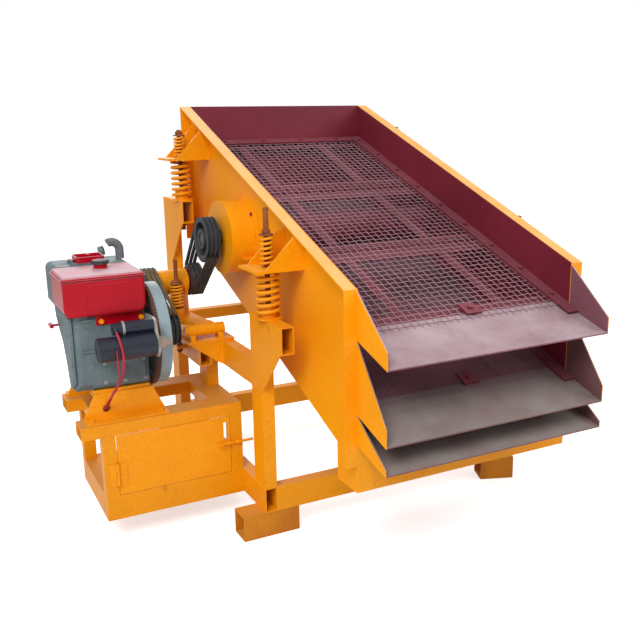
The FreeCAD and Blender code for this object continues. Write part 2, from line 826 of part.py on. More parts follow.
def make_door():
    """Sheet-steel door with a slot, its hinge and its sliding bolt."""
    left = stand_left + stand_tube + door_gap
    right = frame_left - stand_tube - door_gap
    z0 = lower_rail_top + door_gap
    z1 = stand_top - stand_tube - door_gap
    face = stand_front
    sheet = block(left, right, face, face + door_sheet, z0, z1)
    slot_right = right - 12
    slot = block(slot_right - door_slot, slot_right, face, face + door_sheet, z1 - 100, z1 - 24)
    moving, fixed, pin = door_hinge(left - door_gap, z0 + 40)
    bolt_z = z1 - bolt_drop
    bolt_y = face - bolt_collar - seat_gap
    bush_length = 14.0
    bush_x = right - bush_length - door_gap
    knob_x = bush_x - bolt_travel - 2 * bolt_knob
    keeper_x = frame_left - stand_tube + 12
    start = knob_x - 2 * bolt_knob
    shank = rod(start, bolt_y, bolt_z, X, bolt_radius, keeper_x - 2 - start)
    knob = rod(knob_x, bolt_y - 24, bolt_z, Y, bolt_knob, 24.0)
    keep("door_bolt", shank.fuse(knob).removeSplitter())
    bush = ring(bush_x, bolt_y, bolt_z, X, bolt_collar, bolt_radius + running_fit, bush_length)
    pad = block(bush_x - 4, right, face - 1, face, bolt_z - 14, bolt_z + 14)
    keep("stand_door", sheet.cut(slot).fuse([moving, pad, bush]).removeSplitter())
    keeper_length = bolt_travel + 2
    bar_x = keeper_x + keeper_length
    keeper = ring(keeper_x, bolt_y, bolt_z, X, bolt_collar, bolt_radius + seat_gap, keeper_length)
    keeper = keeper.fuse(rod(bar_x, bolt_y, bolt_z, X, bolt_collar, 6.0))
    keeper = keeper.fuse(rod(bar_x + 6, bolt_y, bolt_z, X, bolt_radius, keeper_bar))
    strap = block(keeper_x - 6, frame_left, face - 1, face, bolt_z - 30, bolt_z + 14)
    keep("door_fittings", fixed, pin, keeper.fuse(strap).removeSplitter())


# ------------------------------------------------------ pivot and tension arm

def make_pivot_support():
    """Short post, beam and seat plate that carry the arm's pivot bushes and pin."""
    right = frame_left
    z1 = side_rail_top
    left = right - 2 * tube_wide
    front = pivot_y - 20
    seat = pivot_seat
    keep("pivot_support",
         tube_z(right - tube_wide, right, stand_back - 2 * tube_tall, stand_back - tube_tall,
                stand_top, z1),
         tube_y(left, left + tube_wide, front, stand_back - 10, z1 - tube_tall, z1),
         plate_xz([(left - pivot_seat_reach + 4, z1), (right, z1), (right, z1 - tube_tall),
                   (right - 23, z1 - tube_tall + seat)], front - 8, front),
         block(left - pivot_seat_reach, right + tube_wide, front - seat, front + pivot_seat_back,
               z1, z1 + seat))
    left_end = pivot_left - side_gap - pivot_bush
    right_end = pivot_right + side_gap + pivot_bush
    foot = z1 + seat
    for start in (left_end, right_end - pivot_bush):
        leg = plate_yz([(pivot_y - 26, foot), (pivot_y + 26, foot), (pivot_y + 14, pivot_z),
                        (pivot_y - 14, pivot_z)], start + 8, start + pivot_bush - 8)
        bush = rod(start, pivot_y, pivot_z, X, pivot_tube_radius, pivot_bush)
        bore = rod(start, pivot_y, pivot_z, X, pivot_pin_radius, pivot_bush)
        keep("pivot_support", leg.fuse(bush).cut(bore).removeSplitter())
    pin = rod(left_end - 3, pivot_y, pivot_z, X, pivot_pin_radius, right_end - left_end + 6)
    head = rod(left_end - 12, pivot_y, pivot_z, X, pivot_pin_radius + 6, 12.0)
    keep("pivot_support", pin.fuse(head).removeSplitter())


def arm_blade(bottom, top):
    """Flat plate of the arm: narrow at the pivot tube, full width under the housing."""
    return plate_xy([(pivot_left + 2, pivot_y + 2), (pivot_right - 2, pivot_y + 2),
                     (pivot_right - 2, pivot_y + 32), (pivot_right - 12, pivot_y + 60),
                     (jack_housing_right, jack_y), (jack_housing_right, arm_back_y),
                     (jack_housing_left, arm_back_y), (jack_housing_left, pivot_y + arm_shoulder),
                     (pivot_left - 18, pivot_y + 58), (pivot_left + 2, pivot_y + 32)],
                    bottom, top)


def make_tension_arm():
    """Flat arm welded to the pivot tube, with two webs that carry the jackshaft housing."""
    tube = rod(pivot_left, pivot_y, pivot_z, X, pivot_tube_radius, pivot_right - pivot_left)
    top = pivot_z + pivot_tube_radius + 2
    bottom = top - arm_plate
    length = jack_housing_right - jack_housing_left
    housing = rod(jack_housing_left, jack_y, jack_z, X, jack_housing_radius, length)
    seat = rod(tension_rod_x, tension_rod_y, top, Z, tension_spring_radius + tension_spring_wire,
               tension_spring_bottom - top)
    arm = tube.fuse([arm_blade(bottom, top), housing, seat])
    half = jack_housing_radius
    for x in (jack_housing_left + 10, jack_housing_right - 20):
        arm = arm.fuse(plate_yz([(jack_y - half - 14, top), (jack_y + half + 14, top),
                                 (jack_y + half, jack_z), (jack_y - half, jack_z)], x, x + 10))
    hole = rod(tension_rod_x, tension_rod_y, bottom, Z, tension_rod_radius + 7,
               tension_spring_bottom - bottom)
    bore = rod(pivot_left, pivot_y, pivot_z, X, pivot_pin_radius + running_fit,
               pivot_right - pivot_left)
    inside = rod(jack_housing_left, jack_y, jack_z, X, jack_bearing_radius, length)
    keep("tension_arm", arm.cut(hole).cut(bore).cut(inside).removeSplitter())
    for x in (jack_housing_left, jack_housing_right - jack_bearing):
        keep("tension_arm", ring(x, jack_y, jack_z, X, jack_bearing_radius,
                                 jack_radius + running_fit, jack_bearing))


def make_tension_rod():
    """Rod anchored on the pivot beam; its spring presses the arm down to tighten the belt."""
    x = tension_rod_x
    y = tension_rod_y
    face = frame_left - 2 * tube_wide
    low = side_rail_top - 62
    lug = block(x - 14, face, y - 14, y + 14, low, low + 14)
    lug = lug.cut(rod(x, y, low, Z, tension_rod_radius + hole_gap, 14))
    keep("pivot_support", lug)
    shank = rod(x, y, low - 16, Z, tension_rod_radius, tension_rod_top - low + 16)
    lower = hexagon(x, y, low - 11, Z, 13.0, 11.0)
    check = hexagon(x, y, low + 14, Z, 13.0, 9.0)
    cap = Part.makeCone(tension_spring_radius + tension_spring_wire, tension_rod_radius + 4,
                        tension_cap, Vector(x, y, tension_spring_top), Z)
    keep("tension_rod", shank.fuse([lower, check, cap]).removeSplitter())
    spring = coil(x, y, tension_spring_bottom + seat_gap, tension_spring_radius,
                  tension_spring_wire, tension_spring_turns,
                  tension_spring_top - tension_spring_bottom - seat_gap)
    keep("tension_spring", spring)


# --------------------------------------------------------- pulleys and belts

def pulley(left, y, z, radius, shaft_radius):
    """Three-groove V pulley, dished on the outer side."""
    width = pulley_width - 1
    groove = width / pulley_grooves
    right = left + width
    bottom = radius - belt_thickness
    inner_rim = radius - pulley_rim
    hub = shaft_radius + pulley_hub
    profile = [(left, radius)]
    for k in range(pulley_grooves):
        start = left + k * groove
        profile += [(start + 3, radius), (start + 6, bottom),
                    (start + groove - 6, bottom), (start + groove - 3, radius)]
    profile += [(right, radius), (right, inner_rim), (right - 14, inner_rim - 2),
                (right - 14, hub), (right, hub), (right, shaft_radius), (left, shaft_radius),
                (left, hub), (left + 26, hub + 2), (left + 26, inner_rim), (left, inner_rim + 3)]
    corners = [Vector(x, y + r, z) for x, r in profile]
    face = Part.Face(Part.makePolygon(corners + corners[:1]))
    return face.revolve(Vector(left, y, z), X, 360)


def belt_outline(first, second, grow):
    """Closed wire round two circles (y, z, radius), joined by their outer tangents."""
    ya, za, ra = first
    yb, zb, rb = second
    ra += grow
    rb += grow
    line = math.atan2(zb - za, yb - ya)
    lean = math.acos((ra - rb) / math.hypot(yb - ya, zb - za))

    def on(y, z, r, angle):
        return Vector(0, y + r * math.cos(angle), z + r * math.sin(angle))

    a1, a2 = on(ya, za, ra, line + lean), on(ya, za, ra, line - lean)
    b1, b2 = on(yb, zb, rb, line + lean), on(yb, zb, rb, line - lean)
    far_a = on(ya, za, ra, line + math.pi)
    far_b = on(yb, zb, rb, line)
    edges = [Part.LineSegment(a1, b1).toShape(), Part.Arc(b1, far_b, b2).toShape(),
             Part.LineSegment(b2, a2).toShape(), Part.Arc(a2, far_a, a1).toShape()]
    return Part.Wire(edges)


def belt(left, first, second):
    outer = Part.Face(belt_outline(first, second, belt_gap + belt_thickness))
    inner = Part.Face(belt_outline(first, second, belt_gap))
    loop = outer.cut(inner).extrude(X * (pulley_width - 1))
    return loop.translated(X * left)


def make_drive():
    engine = (crank_y, crank_z, engine_pulley_radius)
    driven = (jack_y, jack_z, driven_sheave_radius)
    drive = (jack_y, jack_z, drive_pulley_radius)
    exciter = (exciter_y, exciter_z, exciter_pulley_radius)
    keep("engine_pulley", pulley(outer_belt_left, *engine, crank_radius))
    keep("driven_sheave", pulley(outer_belt_left, *driven, jack_radius))
    keep("drive_pulley", pulley(inner_belt_left, *drive, jack_radius))
    keep("exciter_pulley", pulley(inner_belt_left, *exciter, exciter_shaft_radius))
    keep("engine_belt", belt(outer_belt_left, engine, driven))
    keep("exciter_belt", belt(inner_belt_left, exciter, drive))
    keep("jackshaft", rod(outer_belt_left - 6, jack_y, jack_z, X, jack_radius,
                          inner_belt_left + pulley_width - outer_belt_left + 10))


# -------------------------------------------------------------------- engine

def make_flywheel():
    left = flywheel_left
    right = left + flywheel_width
    rim = flywheel_radius - flywheel_rim
    hub = crank_radius + 26
    profile = [(left, flywheel_radius), (right, flywheel_radius), (right, rim),
               (right - 20, rim - 6), (right - 20, hub + 6), (right, hub), (right, crank_radius),
               (left, crank_radius), (left, hub), (left + 10, hub + 6), (left + 10, rim - 6),
               (left, rim)]
    corners = [Vector(x, crank_y + r, crank_z) for x, r in profile]
    face = Part.Face(Part.makePolygon(corners + corners[:1]))
    keep("flywheel", face.revolve(Vector(left, crank_y, crank_z), X, 360))
    keep("ring_gear", ring_gear())
    start = case_right - case_wall - 30
    end = outer_belt_left + pulley_width + 8
    keep("flywheel", rod(start, crank_y, crank_z, X, crank_radius, end - start))


def ring_gear():
    """Starter ring on the engine side of the flywheel, with short trapezoidal teeth."""
    pitch = 2 * math.pi / ring_gear_teeth
    root = flywheel_radius
    tip = flywheel_radius + ring_gear_tooth
    points = []
    for k in range(ring_gear_teeth):
        for share, radius in ((0.0, root), (0.3, root), (0.45, tip), (0.85, tip)):
            angle = (k + share) * pitch
            points.append((crank_y + radius * math.cos(angle), crank_z + radius * math.sin(angle)))
    left = flywheel_left - ring_gear_width
    blank = plate_yz(points, left, flywheel_left)
    return blank.cut(rod(left, crank_y, crank_z, X, flywheel_radius - flywheel_rim + 10,
                         ring_gear_width))


def gear_outline(margin):
    """Side view of the timing-gear side: full height in front, cut away under the cylinder."""
    front = case_front + margin
    low = case_bottom + margin
    top = case_top - margin
    return [(front, low + case_corner), (front + case_corner, low),
            (crank_y - 19 - margin, low), (crank_y + 11 - margin, crank_z - 96),
            (crank_y + 67 - margin, crank_z - 21 + margin),
            (case_back - 55 - margin, crank_z + 59 + margin), (case_back - 35 - margin, top),
            (front, top)]


def make_crankcase():
    inner = case_left + gear_case
    case = rounded(block(inner, case_right, case_front, case_back, case_bottom, case_top),
                   case_corner, X)
    side = plate_yz(gear_outline(0), case_left, inner)
    side = side.makeFillet(case_corner, edges_at(side, x=case_left, y=case_front))
    space = block(inner + case_wall, case_right - case_wall, case_front + case_wall,
                  case_back - case_wall, case_bottom + case_wall, case_top - case_wall)
    bore = rod(case_right - case_wall - 1, crank_y, crank_z, X, crank_radius + running_fit,
               case_wall + 2)
    case = case.fuse(side)
    rib = 10.0
    for z in (crank_z - 22, case_top - 26):
        case = case.fuse(block(case_left + case_corner, inner + 16, case_front - rib / 2,
                               case_front + rib, z, z + rib))
    keep("engine_block", case.cut(space).cut(bore).removeSplitter())
    cover = plate_yz(gear_outline(gear_cover_margin), case_left - gear_cover, case_left)
    keep("engine_covers", cover.makeFillet(gear_cover / 3, edges_at(cover, x=case_left - gear_cover)))
    plate_cover = block(side_cover_left, side_cover_right, case_front - side_cover, case_front,
                        case_bottom + side_cover_low, case_bottom + side_cover_high)
    plate_cover = rounded(plate_cover, 24, Y)
    keep("engine_covers", plate_cover.makeChamfer(4.0, edges_at(plate_cover,
                                                               y=case_front - side_cover)))


def make_cylinder():
    low = case_bottom + 40
    end = case_back + cylinder_length
    keep("engine_block", block(cylinder_left, cylinder_right, case_back, end, low, case_top))
    head = block(cylinder_left + 10, cylinder_right - 10, end, end + head_length, low + 20,
                 case_top - 20)
    keep("cylinder_head", rounded(head, 18, Y))


def make_hopper():
    """Cooling-water hopper with the frame, hinge and lid of its filling hole."""
    hopper = block(hopper_left, hopper_right, hopper_front, hopper_back, case_top, tank_top)
    hopper = hopper.makeFillet(hopper_corner, edges_at(hopper, x=hopper_left, z=tank_top)
                               + edges_at(hopper, x=hopper_right, z=tank_top))
    wall = hopper_wall
    space = block(hopper_left + wall, hopper_right - wall, hopper_front + wall,
                  hopper_back - wall, case_top + wall, tank_top - wall)
    keep("water_hopper", hopper.cut(space))
    margin = hopper_frame
    low = tank_top + hopper_frame
    axis_x = hopper_lid_left - hinge_offset
    axis_z = tank_top + hinge_rise
    middle = (hopper_lid_front + hopper_lid_back) / 2
    half = hinge_knuckle
    ears = []
    for start in (middle - half - hinge_knuckle, middle + half):
        ears.append(block(axis_x - 5, axis_x + 5, start, start + hinge_knuckle, tank_top, axis_z))
        ears.append(rod(axis_x, start, axis_z, Y, 5.0, hinge_knuckle))
    frame = rounded(block(axis_x - 6, hopper_lid_right + margin, hopper_lid_front + 1,
                          hopper_lid_back + margin, tank_top, low), 6, Z)
    pin_length = 2 * half + 2 * hinge_knuckle
    pin = rod(axis_x, middle - pin_length / 2, axis_z, Y, hinge_pin, pin_length)
    keep("water_hopper", frame.fuse(ears + [pin]).removeSplitter())
    lid = rounded(block(hopper_lid_left, hopper_lid_right, hopper_lid_front, hopper_lid_back,
                        lid_bottom, lid_bottom + hopper_lid_height), 14, Z)
    wall = hopper_lid_wall
    tray = rounded(block(hopper_lid_left + wall, hopper_lid_right - wall,
                         hopper_lid_front + wall, hopper_lid_back - wall,
                         lid_bottom + wall, lid_bottom + hopper_lid_height), 14 - wall, Z)
    boss = rod((hopper_lid_left + hopper_lid_right) / 2, middle, lid_bottom, Z, 8.0,
               hopper_lid_height + 4)
    start = middle - half + seat_gap
    length = 2 * (half - seat_gap)
    barrel = rod(axis_x, start, axis_z, Y, 5.0, length)
    link = block(axis_x, hopper_lid_left + 1, start, start + length, axis_z, axis_z + 5)
    bore = rod(axis_x, start, axis_z, Y, hinge_pin + running_fit, length)
    lid = lid.cut(tray).fuse([boss, barrel, link]).cut(bore)
    keep("hopper_lid", lid.removeSplitter())


def make_exhaust():
    """Bent exhaust pipe with an open end, and the steam whistle beside it."""
    foot = Vector(exhaust_x, exhaust_y, tank_top)
    bend = foot + Z * exhaust_rise
    outer = Part.Wire(Part.makeCircle(exhaust_radius, bend, Z))
    inner = Part.Wire(Part.makeCircle(exhaust_radius - exhaust_wall, bend, Z))
    section = Part.Face([outer, inner])
    elbow = section.revolve(bend - X * exhaust_bend, -Y, exhaust_turn)
    riser = ring(foot.x, foot.y, foot.z, Z, exhaust_radius, exhaust_radius - exhaust_wall,
                 exhaust_rise)
    keep("exhaust_pipe", elbow.fuse(riser).removeSplitter())
    cup_z = tank_top + 28
    cup = ring(whistle_x - 10, whistle_y + 4, cup_z, Vector(0.9, -0.35, 0.25), 19.0, 13.0, 20.0)
    stem = rod(whistle_x, whistle_y, tank_top, Z, 6.0, cup_z - tank_top - 8)
    keep("water_hopper", cup.fuse(stem).removeSplitter())


def make_tank():
    seam = tank_top - tank_lid_height
    tank = block(tank_left, tank_right, tank_front, tank_back, case_top, seam)
    tank = tank.makeFillet(tank_corner, edges_at(tank, x=tank_left, z=case_top)
                           + edges_at(tank, x=tank_right, z=case_top))
    tank = tank.makeFillet(tank_edge, [edge for y in (tank_front, tank_back)
                                       for edge in edges_at(tank, y=y)
                                       if edge not in edges_at(tank, y=y, z=seam)])
    wall = tank_wall
    space = block(tank_left + wall, tank_right - wall, tank_front + wall, tank_back - wall,
                  case_top + wall, seam)
    space = space.makeFillet(tank_corner - wall, edges_at(space, x=tank_left + wall, z=case_top + wall)
                             + edges_at(space, x=tank_right - wall, z=case_top + wall))
    panel = rounded(block(tank_left + 85, tank_right - 48, tank_front - 2, tank_front + wall / 2,
                          case_top + 14, seam - 18), 22, Y)
    keep("fuel_tank", tank.cut(space).fuse(panel).removeSplitter())
    lid = rounded(block(tank_left, tank_right, tank_front, tank_back, seam, tank_top), tank_edge, Z)
    lid = lid.makeChamfer(6.0, edges_at(lid, z=tank_top))
    brim = rounded(block(tank_left - tank_seam, tank_right + tank_seam, tank_front - tank_seam,
                         tank_back + tank_seam, seam, seam + wall), tank_edge + tank_seam, Z)
    neck = rod(filler_x, filler_y, tank_top, Z, filler_radius, filler_height)
    keep("fuel_tank", lid.fuse([brim, neck]).removeSplitter())
    cap = polygon_rod(filler_x, filler_y, tank_top + filler_height + seat_gap, Z,
                      tank_cap_radius, tank_cap_height, 8)
    keep("tank_cap", cap.makeChamfer(2.5, edges_at(cap, z=cap.BoundBox.ZMax)))
    strap = block(side_cover_left - 10, tank_right - 10, case_front - wall, case_front,
                  case_top - 42, case_top)
    keep("fuel_tank", strap)
    for x in (side_cover_left + 9, side_cover_right - 5):
        keep("engine_mounts", hexagon(x, case_front - wall, case_top - 27, -Y, 10.0, 8.0))


def make_starter():
    body = rod(starter_left, starter_y, starter_z, X, starter_radius,
               starter_flange - starter_left)
    x, y, z = starter_wire[0]
    reach = starter_y - y
    terminal = rod(x, y - terminal_radius, z + terminal_radius, Y, terminal_radius,
                   reach - starter_radius + 22)
    keep("starter_motor", body.makeChamfer(4.0, edges_at(body, x=starter_left)).fuse(terminal)
         .removeSplitter())
    start = starter_left + 82
    solenoid = rod(start, solenoid_y, solenoid_z, X, solenoid_radius, starter_flange - start)
    cap = rod(start - 20, solenoid_y, solenoid_z, X, solenoid_radius - 3, 20.0)
    first = Vector(*starter_cable[0])
    run = Vector(*starter_cable[1]) - first
    stud = Part.makeCylinder(cable_radius, 26.0, first, -run)
    keep("starter_motor", solenoid.fuse([cap, stud]).removeSplitter())
    low = starter_z - starter_radius - 1
    outline = [(starter_y - starter_radius + 1, starter_z - 20), (starter_y - 20, low),
               (case_front, low), (case_front, solenoid_z + solenoid_radius - 5),
               (solenoid_y + 12, solenoid_z + solenoid_radius + 2),
               (solenoid_y - 22, solenoid_z + solenoid_radius - 5)]
    flange_plate = plate_yz(outline, starter_flange, starter_flange + flange_sheet)
    nose = Part.makeCone(30.0, 14.0, nose_length,
                         Vector(starter_flange + flange_sheet, starter_y, starter_z), X)
    tip = rod(starter_flange + flange_sheet + nose_length, starter_y, starter_z, X, 11.0, 6.0)
    keep("starter_bracket", flange_plate.fuse([nose, tip]).removeSplitter())
    keep("starter_cable", cable(starter_cable, cable_radius))
    keep("starter_wire", cable(starter_wire, wire_radius))


def make_mounts():
    """Two bent-plate brackets that carry the engine on the stand rails, with their bolts."""
    left = mount_left
    right = mount_right
    taper = mount_taper
    low = stand_top
    high = case_bottom - foot_plate
    sheet = mount_sheet
    for web_y, reach, back in ((case_front - 5, -1, 1), (stand_back - 54, 1, -1)):
        web = plate_xz([(left, low + sheet), (right, low + sheet), (right - taper, high - sheet),
                        (left + taper, high - sheet)], web_y, web_y + sheet)
        middle = web_y + sheet / 2
        y0, y1 = sorted((middle - reach * sheet / 2, middle + reach * mount_flange))
        bottom = block(left, right, y0, y1, low, low + sheet)
        y0, y1 = sorted((middle - back * sheet / 2, middle + back * mount_flange))
        top = block(left + taper, right - taper, y0, y1, high - sheet, high)
        part = web.fuse([bottom, top])
        if reach < 0:
            part = part.cut(rod(cable_hole[0], web_y, cable_hole[1], Y, cable_hole[2], sheet))
        keep("engine_mounts", part.removeSplitter())
        for x in (left + mount_bolt_inset, right - mount_bolt_inset):
            keep("engine_mounts", hexagon(x, middle + reach * 32, low + sheet, Z,
                                         12.0, 9.0))
        y0, y1 = sorted((middle + back * 4, middle + back * 50))
        keep("engine_mounts", block(case_left + gear_case, case_right, y0, y1, high, case_bottom))


def make_knob():
    """T-shaped decompression handle on the gear cover."""
    y = decompression_y
    z = decompression_z
    face = case_left - gear_cover
    bar_x = face - decompression_reach / 2
    stem = rod(bar_x, y, z, X, 5.0, face - seat_gap - bar_x)
    grip = rod(bar_x, y - 22, z, Y, 8.0, 44.0)
    keep("decompression_knob", grip.fuse(stem).removeSplitter())


# -------------------------------------------------------------------- cables

def cable(route, radius):
    """Tube of straight runs joined by tangent arcs; prints the radius of each arc."""
    points = [Vector(*p) for p in route]
    runs = [b - a for a, b in zip(points, points[1:])]
    edges = []
    last = points[0]
    for k, corner in enumerate(points[1:-1]):
        before = runs[k]
        after = runs[k + 1]
        turn = before.getAngle(after)
        trim = 0.45 * min(before.Length, after.Length)
        arc_radius = trim / math.tan(turn / 2)
        start = corner - before * (trim / before.Length)
        end = corner + after * (trim / after.Length)
        inward = (after / after.Length - before / before.Length).normalize()
        middle = corner + inward * (arc_radius / math.cos(turn / 2) - arc_radius)
        print("cable arc radius %.1f" % arc_radius)
        edges.append(Part.LineSegment(last, start).toShape())
        edges.append(Part.Arc(start, middle, end).toShape())
        last = end
    edges.append(Part.LineSegment(last, points[-1]).toShape())
    path = Part.Wire(edges)
    section = Part.Wire(Part.makeCircle(radius, points[0], runs[0]))
    print("cable length %.0f" % path.Length)
    return path.makePipeShell([section], True, False)


def make_all():
    make_box_plates()
    make_chute("upper_chute", upper_chute)
    make_chute("middle_chute", middle_chute)
    make_chute("lower_chute", lower_chute)
    make_deck("upper", upper_chute, upper_pitch, upper_wire)
    make_deck("lower", middle_chute, lower_pitch, lower_wire)
    make_pan()
    make_brackets()
    make_exciter()
    make_floor_frame()
    make_feet()
    make_posts()
    make_spring_beams()
    make_rails()
    make_springs()
    make_stand()
    make_door()
    make_pivot_support()
    make_tension_arm()
    make_tension_rod()
    make_drive()
    make_flywheel()
    make_crankcase()
    make_cylinder()
    make_hopper()
    make_exhaust()
    make_tank()
    make_starter()
    make_mounts()
    make_knob()


def export():
    whole = FreeCAD.BoundBox()
    for solids in nodes.values():
        for solid in solids:
            whole.add(solid.BoundBox)
    shift = Vector(-(whole.XMin + whole.XMax) / 2, -(whole.YMin + whole.YMax) / 2, -whole.ZMin)
    print("shift %.3f %.3f %.3f" % tuple(shift))
    print("size %.1f %.1f %.1f" % (whole.XLength, whole.YLength, whole.ZLength))
    for node, solids in nodes.items():
        shape = Part.Compound([solid.translated(shift) for solid in solids])
        shape.exportStep("parts/" + node + ".step")
    print(len(nodes), "nodes")


make_all()
export()
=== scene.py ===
import math

import bpy
from mathutils import Euler, Matrix, Vector


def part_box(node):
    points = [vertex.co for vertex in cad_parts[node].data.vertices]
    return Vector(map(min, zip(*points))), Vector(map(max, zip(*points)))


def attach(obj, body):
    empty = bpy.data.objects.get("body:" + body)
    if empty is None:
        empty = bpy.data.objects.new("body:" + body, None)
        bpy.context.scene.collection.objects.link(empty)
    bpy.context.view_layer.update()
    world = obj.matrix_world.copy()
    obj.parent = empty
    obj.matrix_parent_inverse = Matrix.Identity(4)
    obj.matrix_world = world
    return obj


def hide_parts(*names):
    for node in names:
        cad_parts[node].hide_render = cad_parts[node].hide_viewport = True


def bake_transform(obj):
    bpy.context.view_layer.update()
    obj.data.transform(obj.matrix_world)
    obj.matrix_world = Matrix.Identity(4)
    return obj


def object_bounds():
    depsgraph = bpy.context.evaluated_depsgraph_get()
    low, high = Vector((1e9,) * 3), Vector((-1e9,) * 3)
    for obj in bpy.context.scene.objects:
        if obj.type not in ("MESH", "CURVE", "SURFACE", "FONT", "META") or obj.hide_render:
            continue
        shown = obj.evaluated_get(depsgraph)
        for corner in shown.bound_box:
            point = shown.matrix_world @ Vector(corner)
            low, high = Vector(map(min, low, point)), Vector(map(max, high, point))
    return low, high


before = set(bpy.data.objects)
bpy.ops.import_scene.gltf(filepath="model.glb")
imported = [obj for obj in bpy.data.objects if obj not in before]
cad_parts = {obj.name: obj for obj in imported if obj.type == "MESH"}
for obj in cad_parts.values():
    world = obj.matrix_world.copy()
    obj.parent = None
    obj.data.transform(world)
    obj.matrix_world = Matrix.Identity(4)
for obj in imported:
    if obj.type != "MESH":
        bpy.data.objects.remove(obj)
BOX_AT_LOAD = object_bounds()

# ------------------------------------------------------------------ measures
MM = 0.001
PLATE = 6 * MM
INCLINE = math.radians(20.4)
MACHINE_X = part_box("side_plates")[0].x
MACHINE_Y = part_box("side_plates")[0].y
BOX_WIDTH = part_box("side_plates")[1].x - MACHINE_X
BOX_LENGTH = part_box("side_plates")[1].y - MACHINE_Y
BOX_MIDDLE = MACHINE_X + BOX_WIDTH / 2
BOX_MIDDLE_Y = MACHINE_Y + BOX_LENGTH / 2


def place(x, y, z):
    """A point given in millimetres from the left side plate's lower front corner on the floor."""
    return Vector((MACHINE_X + x * MM, MACHINE_Y + y * MM, z * MM))


# ------------------------------------------------------------------ materials
class Graph:
    """Adds shader nodes to a new material and links them."""

    def __init__(self, name):
        self.material = bpy.data.materials.new(name)
        self.material.use_nodes = True
        self.tree = self.material.node_tree
        self.shader = self.tree.nodes["Principled BSDF"]
        self.coordinates = self.tree.nodes.new("ShaderNodeTexCoord").outputs["Object"]

    def link(self, source, target):
        self.tree.links.new(source, target)

    def noise(self, scale, detail=4.0, roughness=0.55, distortion=0.0, vector=None):
        node = self.tree.nodes.new("ShaderNodeTexNoise")
        node.inputs["Scale"].default_value = scale
        node.inputs["Detail"].default_value = detail
        node.inputs["Roughness"].default_value = roughness
        node.inputs["Distortion"].default_value = distortion
        self.link(vector or self.coordinates, node.inputs["Vector"])
        return node.outputs["Fac"]

    def span(self, value, low, high, out_low=0.0, out_high=1.0):
        node = self.tree.nodes.new("ShaderNodeMapRange")
        node.inputs["From Min"].default_value = low
        node.inputs["From Max"].default_value = high
        node.inputs["To Min"].default_value = out_low
        node.inputs["To Max"].default_value = out_high
        self.link(value, node.inputs["Value"])
        return node.outputs["Result"]

    def math(self, operation, a, b):
        node = self.tree.nodes.new("ShaderNodeMath")
        node.operation = operation
        for socket, value in zip(node.inputs, (a, b)):
            if isinstance(value, (int, float)):
                socket.default_value = value
            else:
                self.link(value, socket)
        return node.outputs["Value"]

    def mix(self, factor, a, b, blend="MIX"):
        node = self.tree.nodes.new("ShaderNodeMix")
        node.data_type = "RGBA"
        node.blend_type = blend
        colour_inputs = [s for s in node.inputs if s.type == "RGBA"]
        for socket, value in zip([node.inputs[0]] + colour_inputs, (factor, a, b)):
            if isinstance(value, (int, float)):
                socket.default_value = value
            elif isinstance(value, tuple):
                socket.default_value = value
            else:
                self.link(value, socket)
        return [s for s in node.outputs if s.type == "RGBA"][0]

    def axis(self, which, source=None):
        node = self.tree.nodes.new("ShaderNodeSeparateXYZ")
        self.link(source or self.coordinates, node.inputs["Vector"])
        return node.outputs[which]

    def facing_up(self):
        geometry = self.tree.nodes.new("ShaderNodeNewGeometry")
        return self.axis("Z", geometry.outputs["Normal"])

    def bump(self, height, strength, distance=0.001):
        node = self.tree.nodes.new("ShaderNodeBump")
        node.inputs["Strength"].default_value = strength
        node.inputs["Distance"].default_value = distance
        self.link(height, node.inputs["Height"])
        self.link(node.outputs["Normal"], self.shader.inputs["Normal"])

    def finish(self, colour, roughness, metallic=0.0, coat=0.0, specular=0.5):
        for name, value in (("Base Color", colour), ("Roughness", roughness),
                            ("Metallic", metallic), ("Coat Weight", coat),
                            ("Specular IOR Level", specular)):
            socket = self.shader.inputs[name]
            if isinstance(value, (int, float, tuple)):
                socket.default_value = value
            else:
                self.link(value, socket)
        return self.material


def rgb(code):
    """A colour written as six hexadecimal digits, in the linear values that shaders read."""
    parts = [int(code[i:i + 2], 16) / 255 for i in (0, 2, 4)]
    linear = [p / 12.92 if p <= 0.04045 else ((p + 0.055) / 1.055) ** 2.4 for p in parts]
    return (*linear, 1.0)


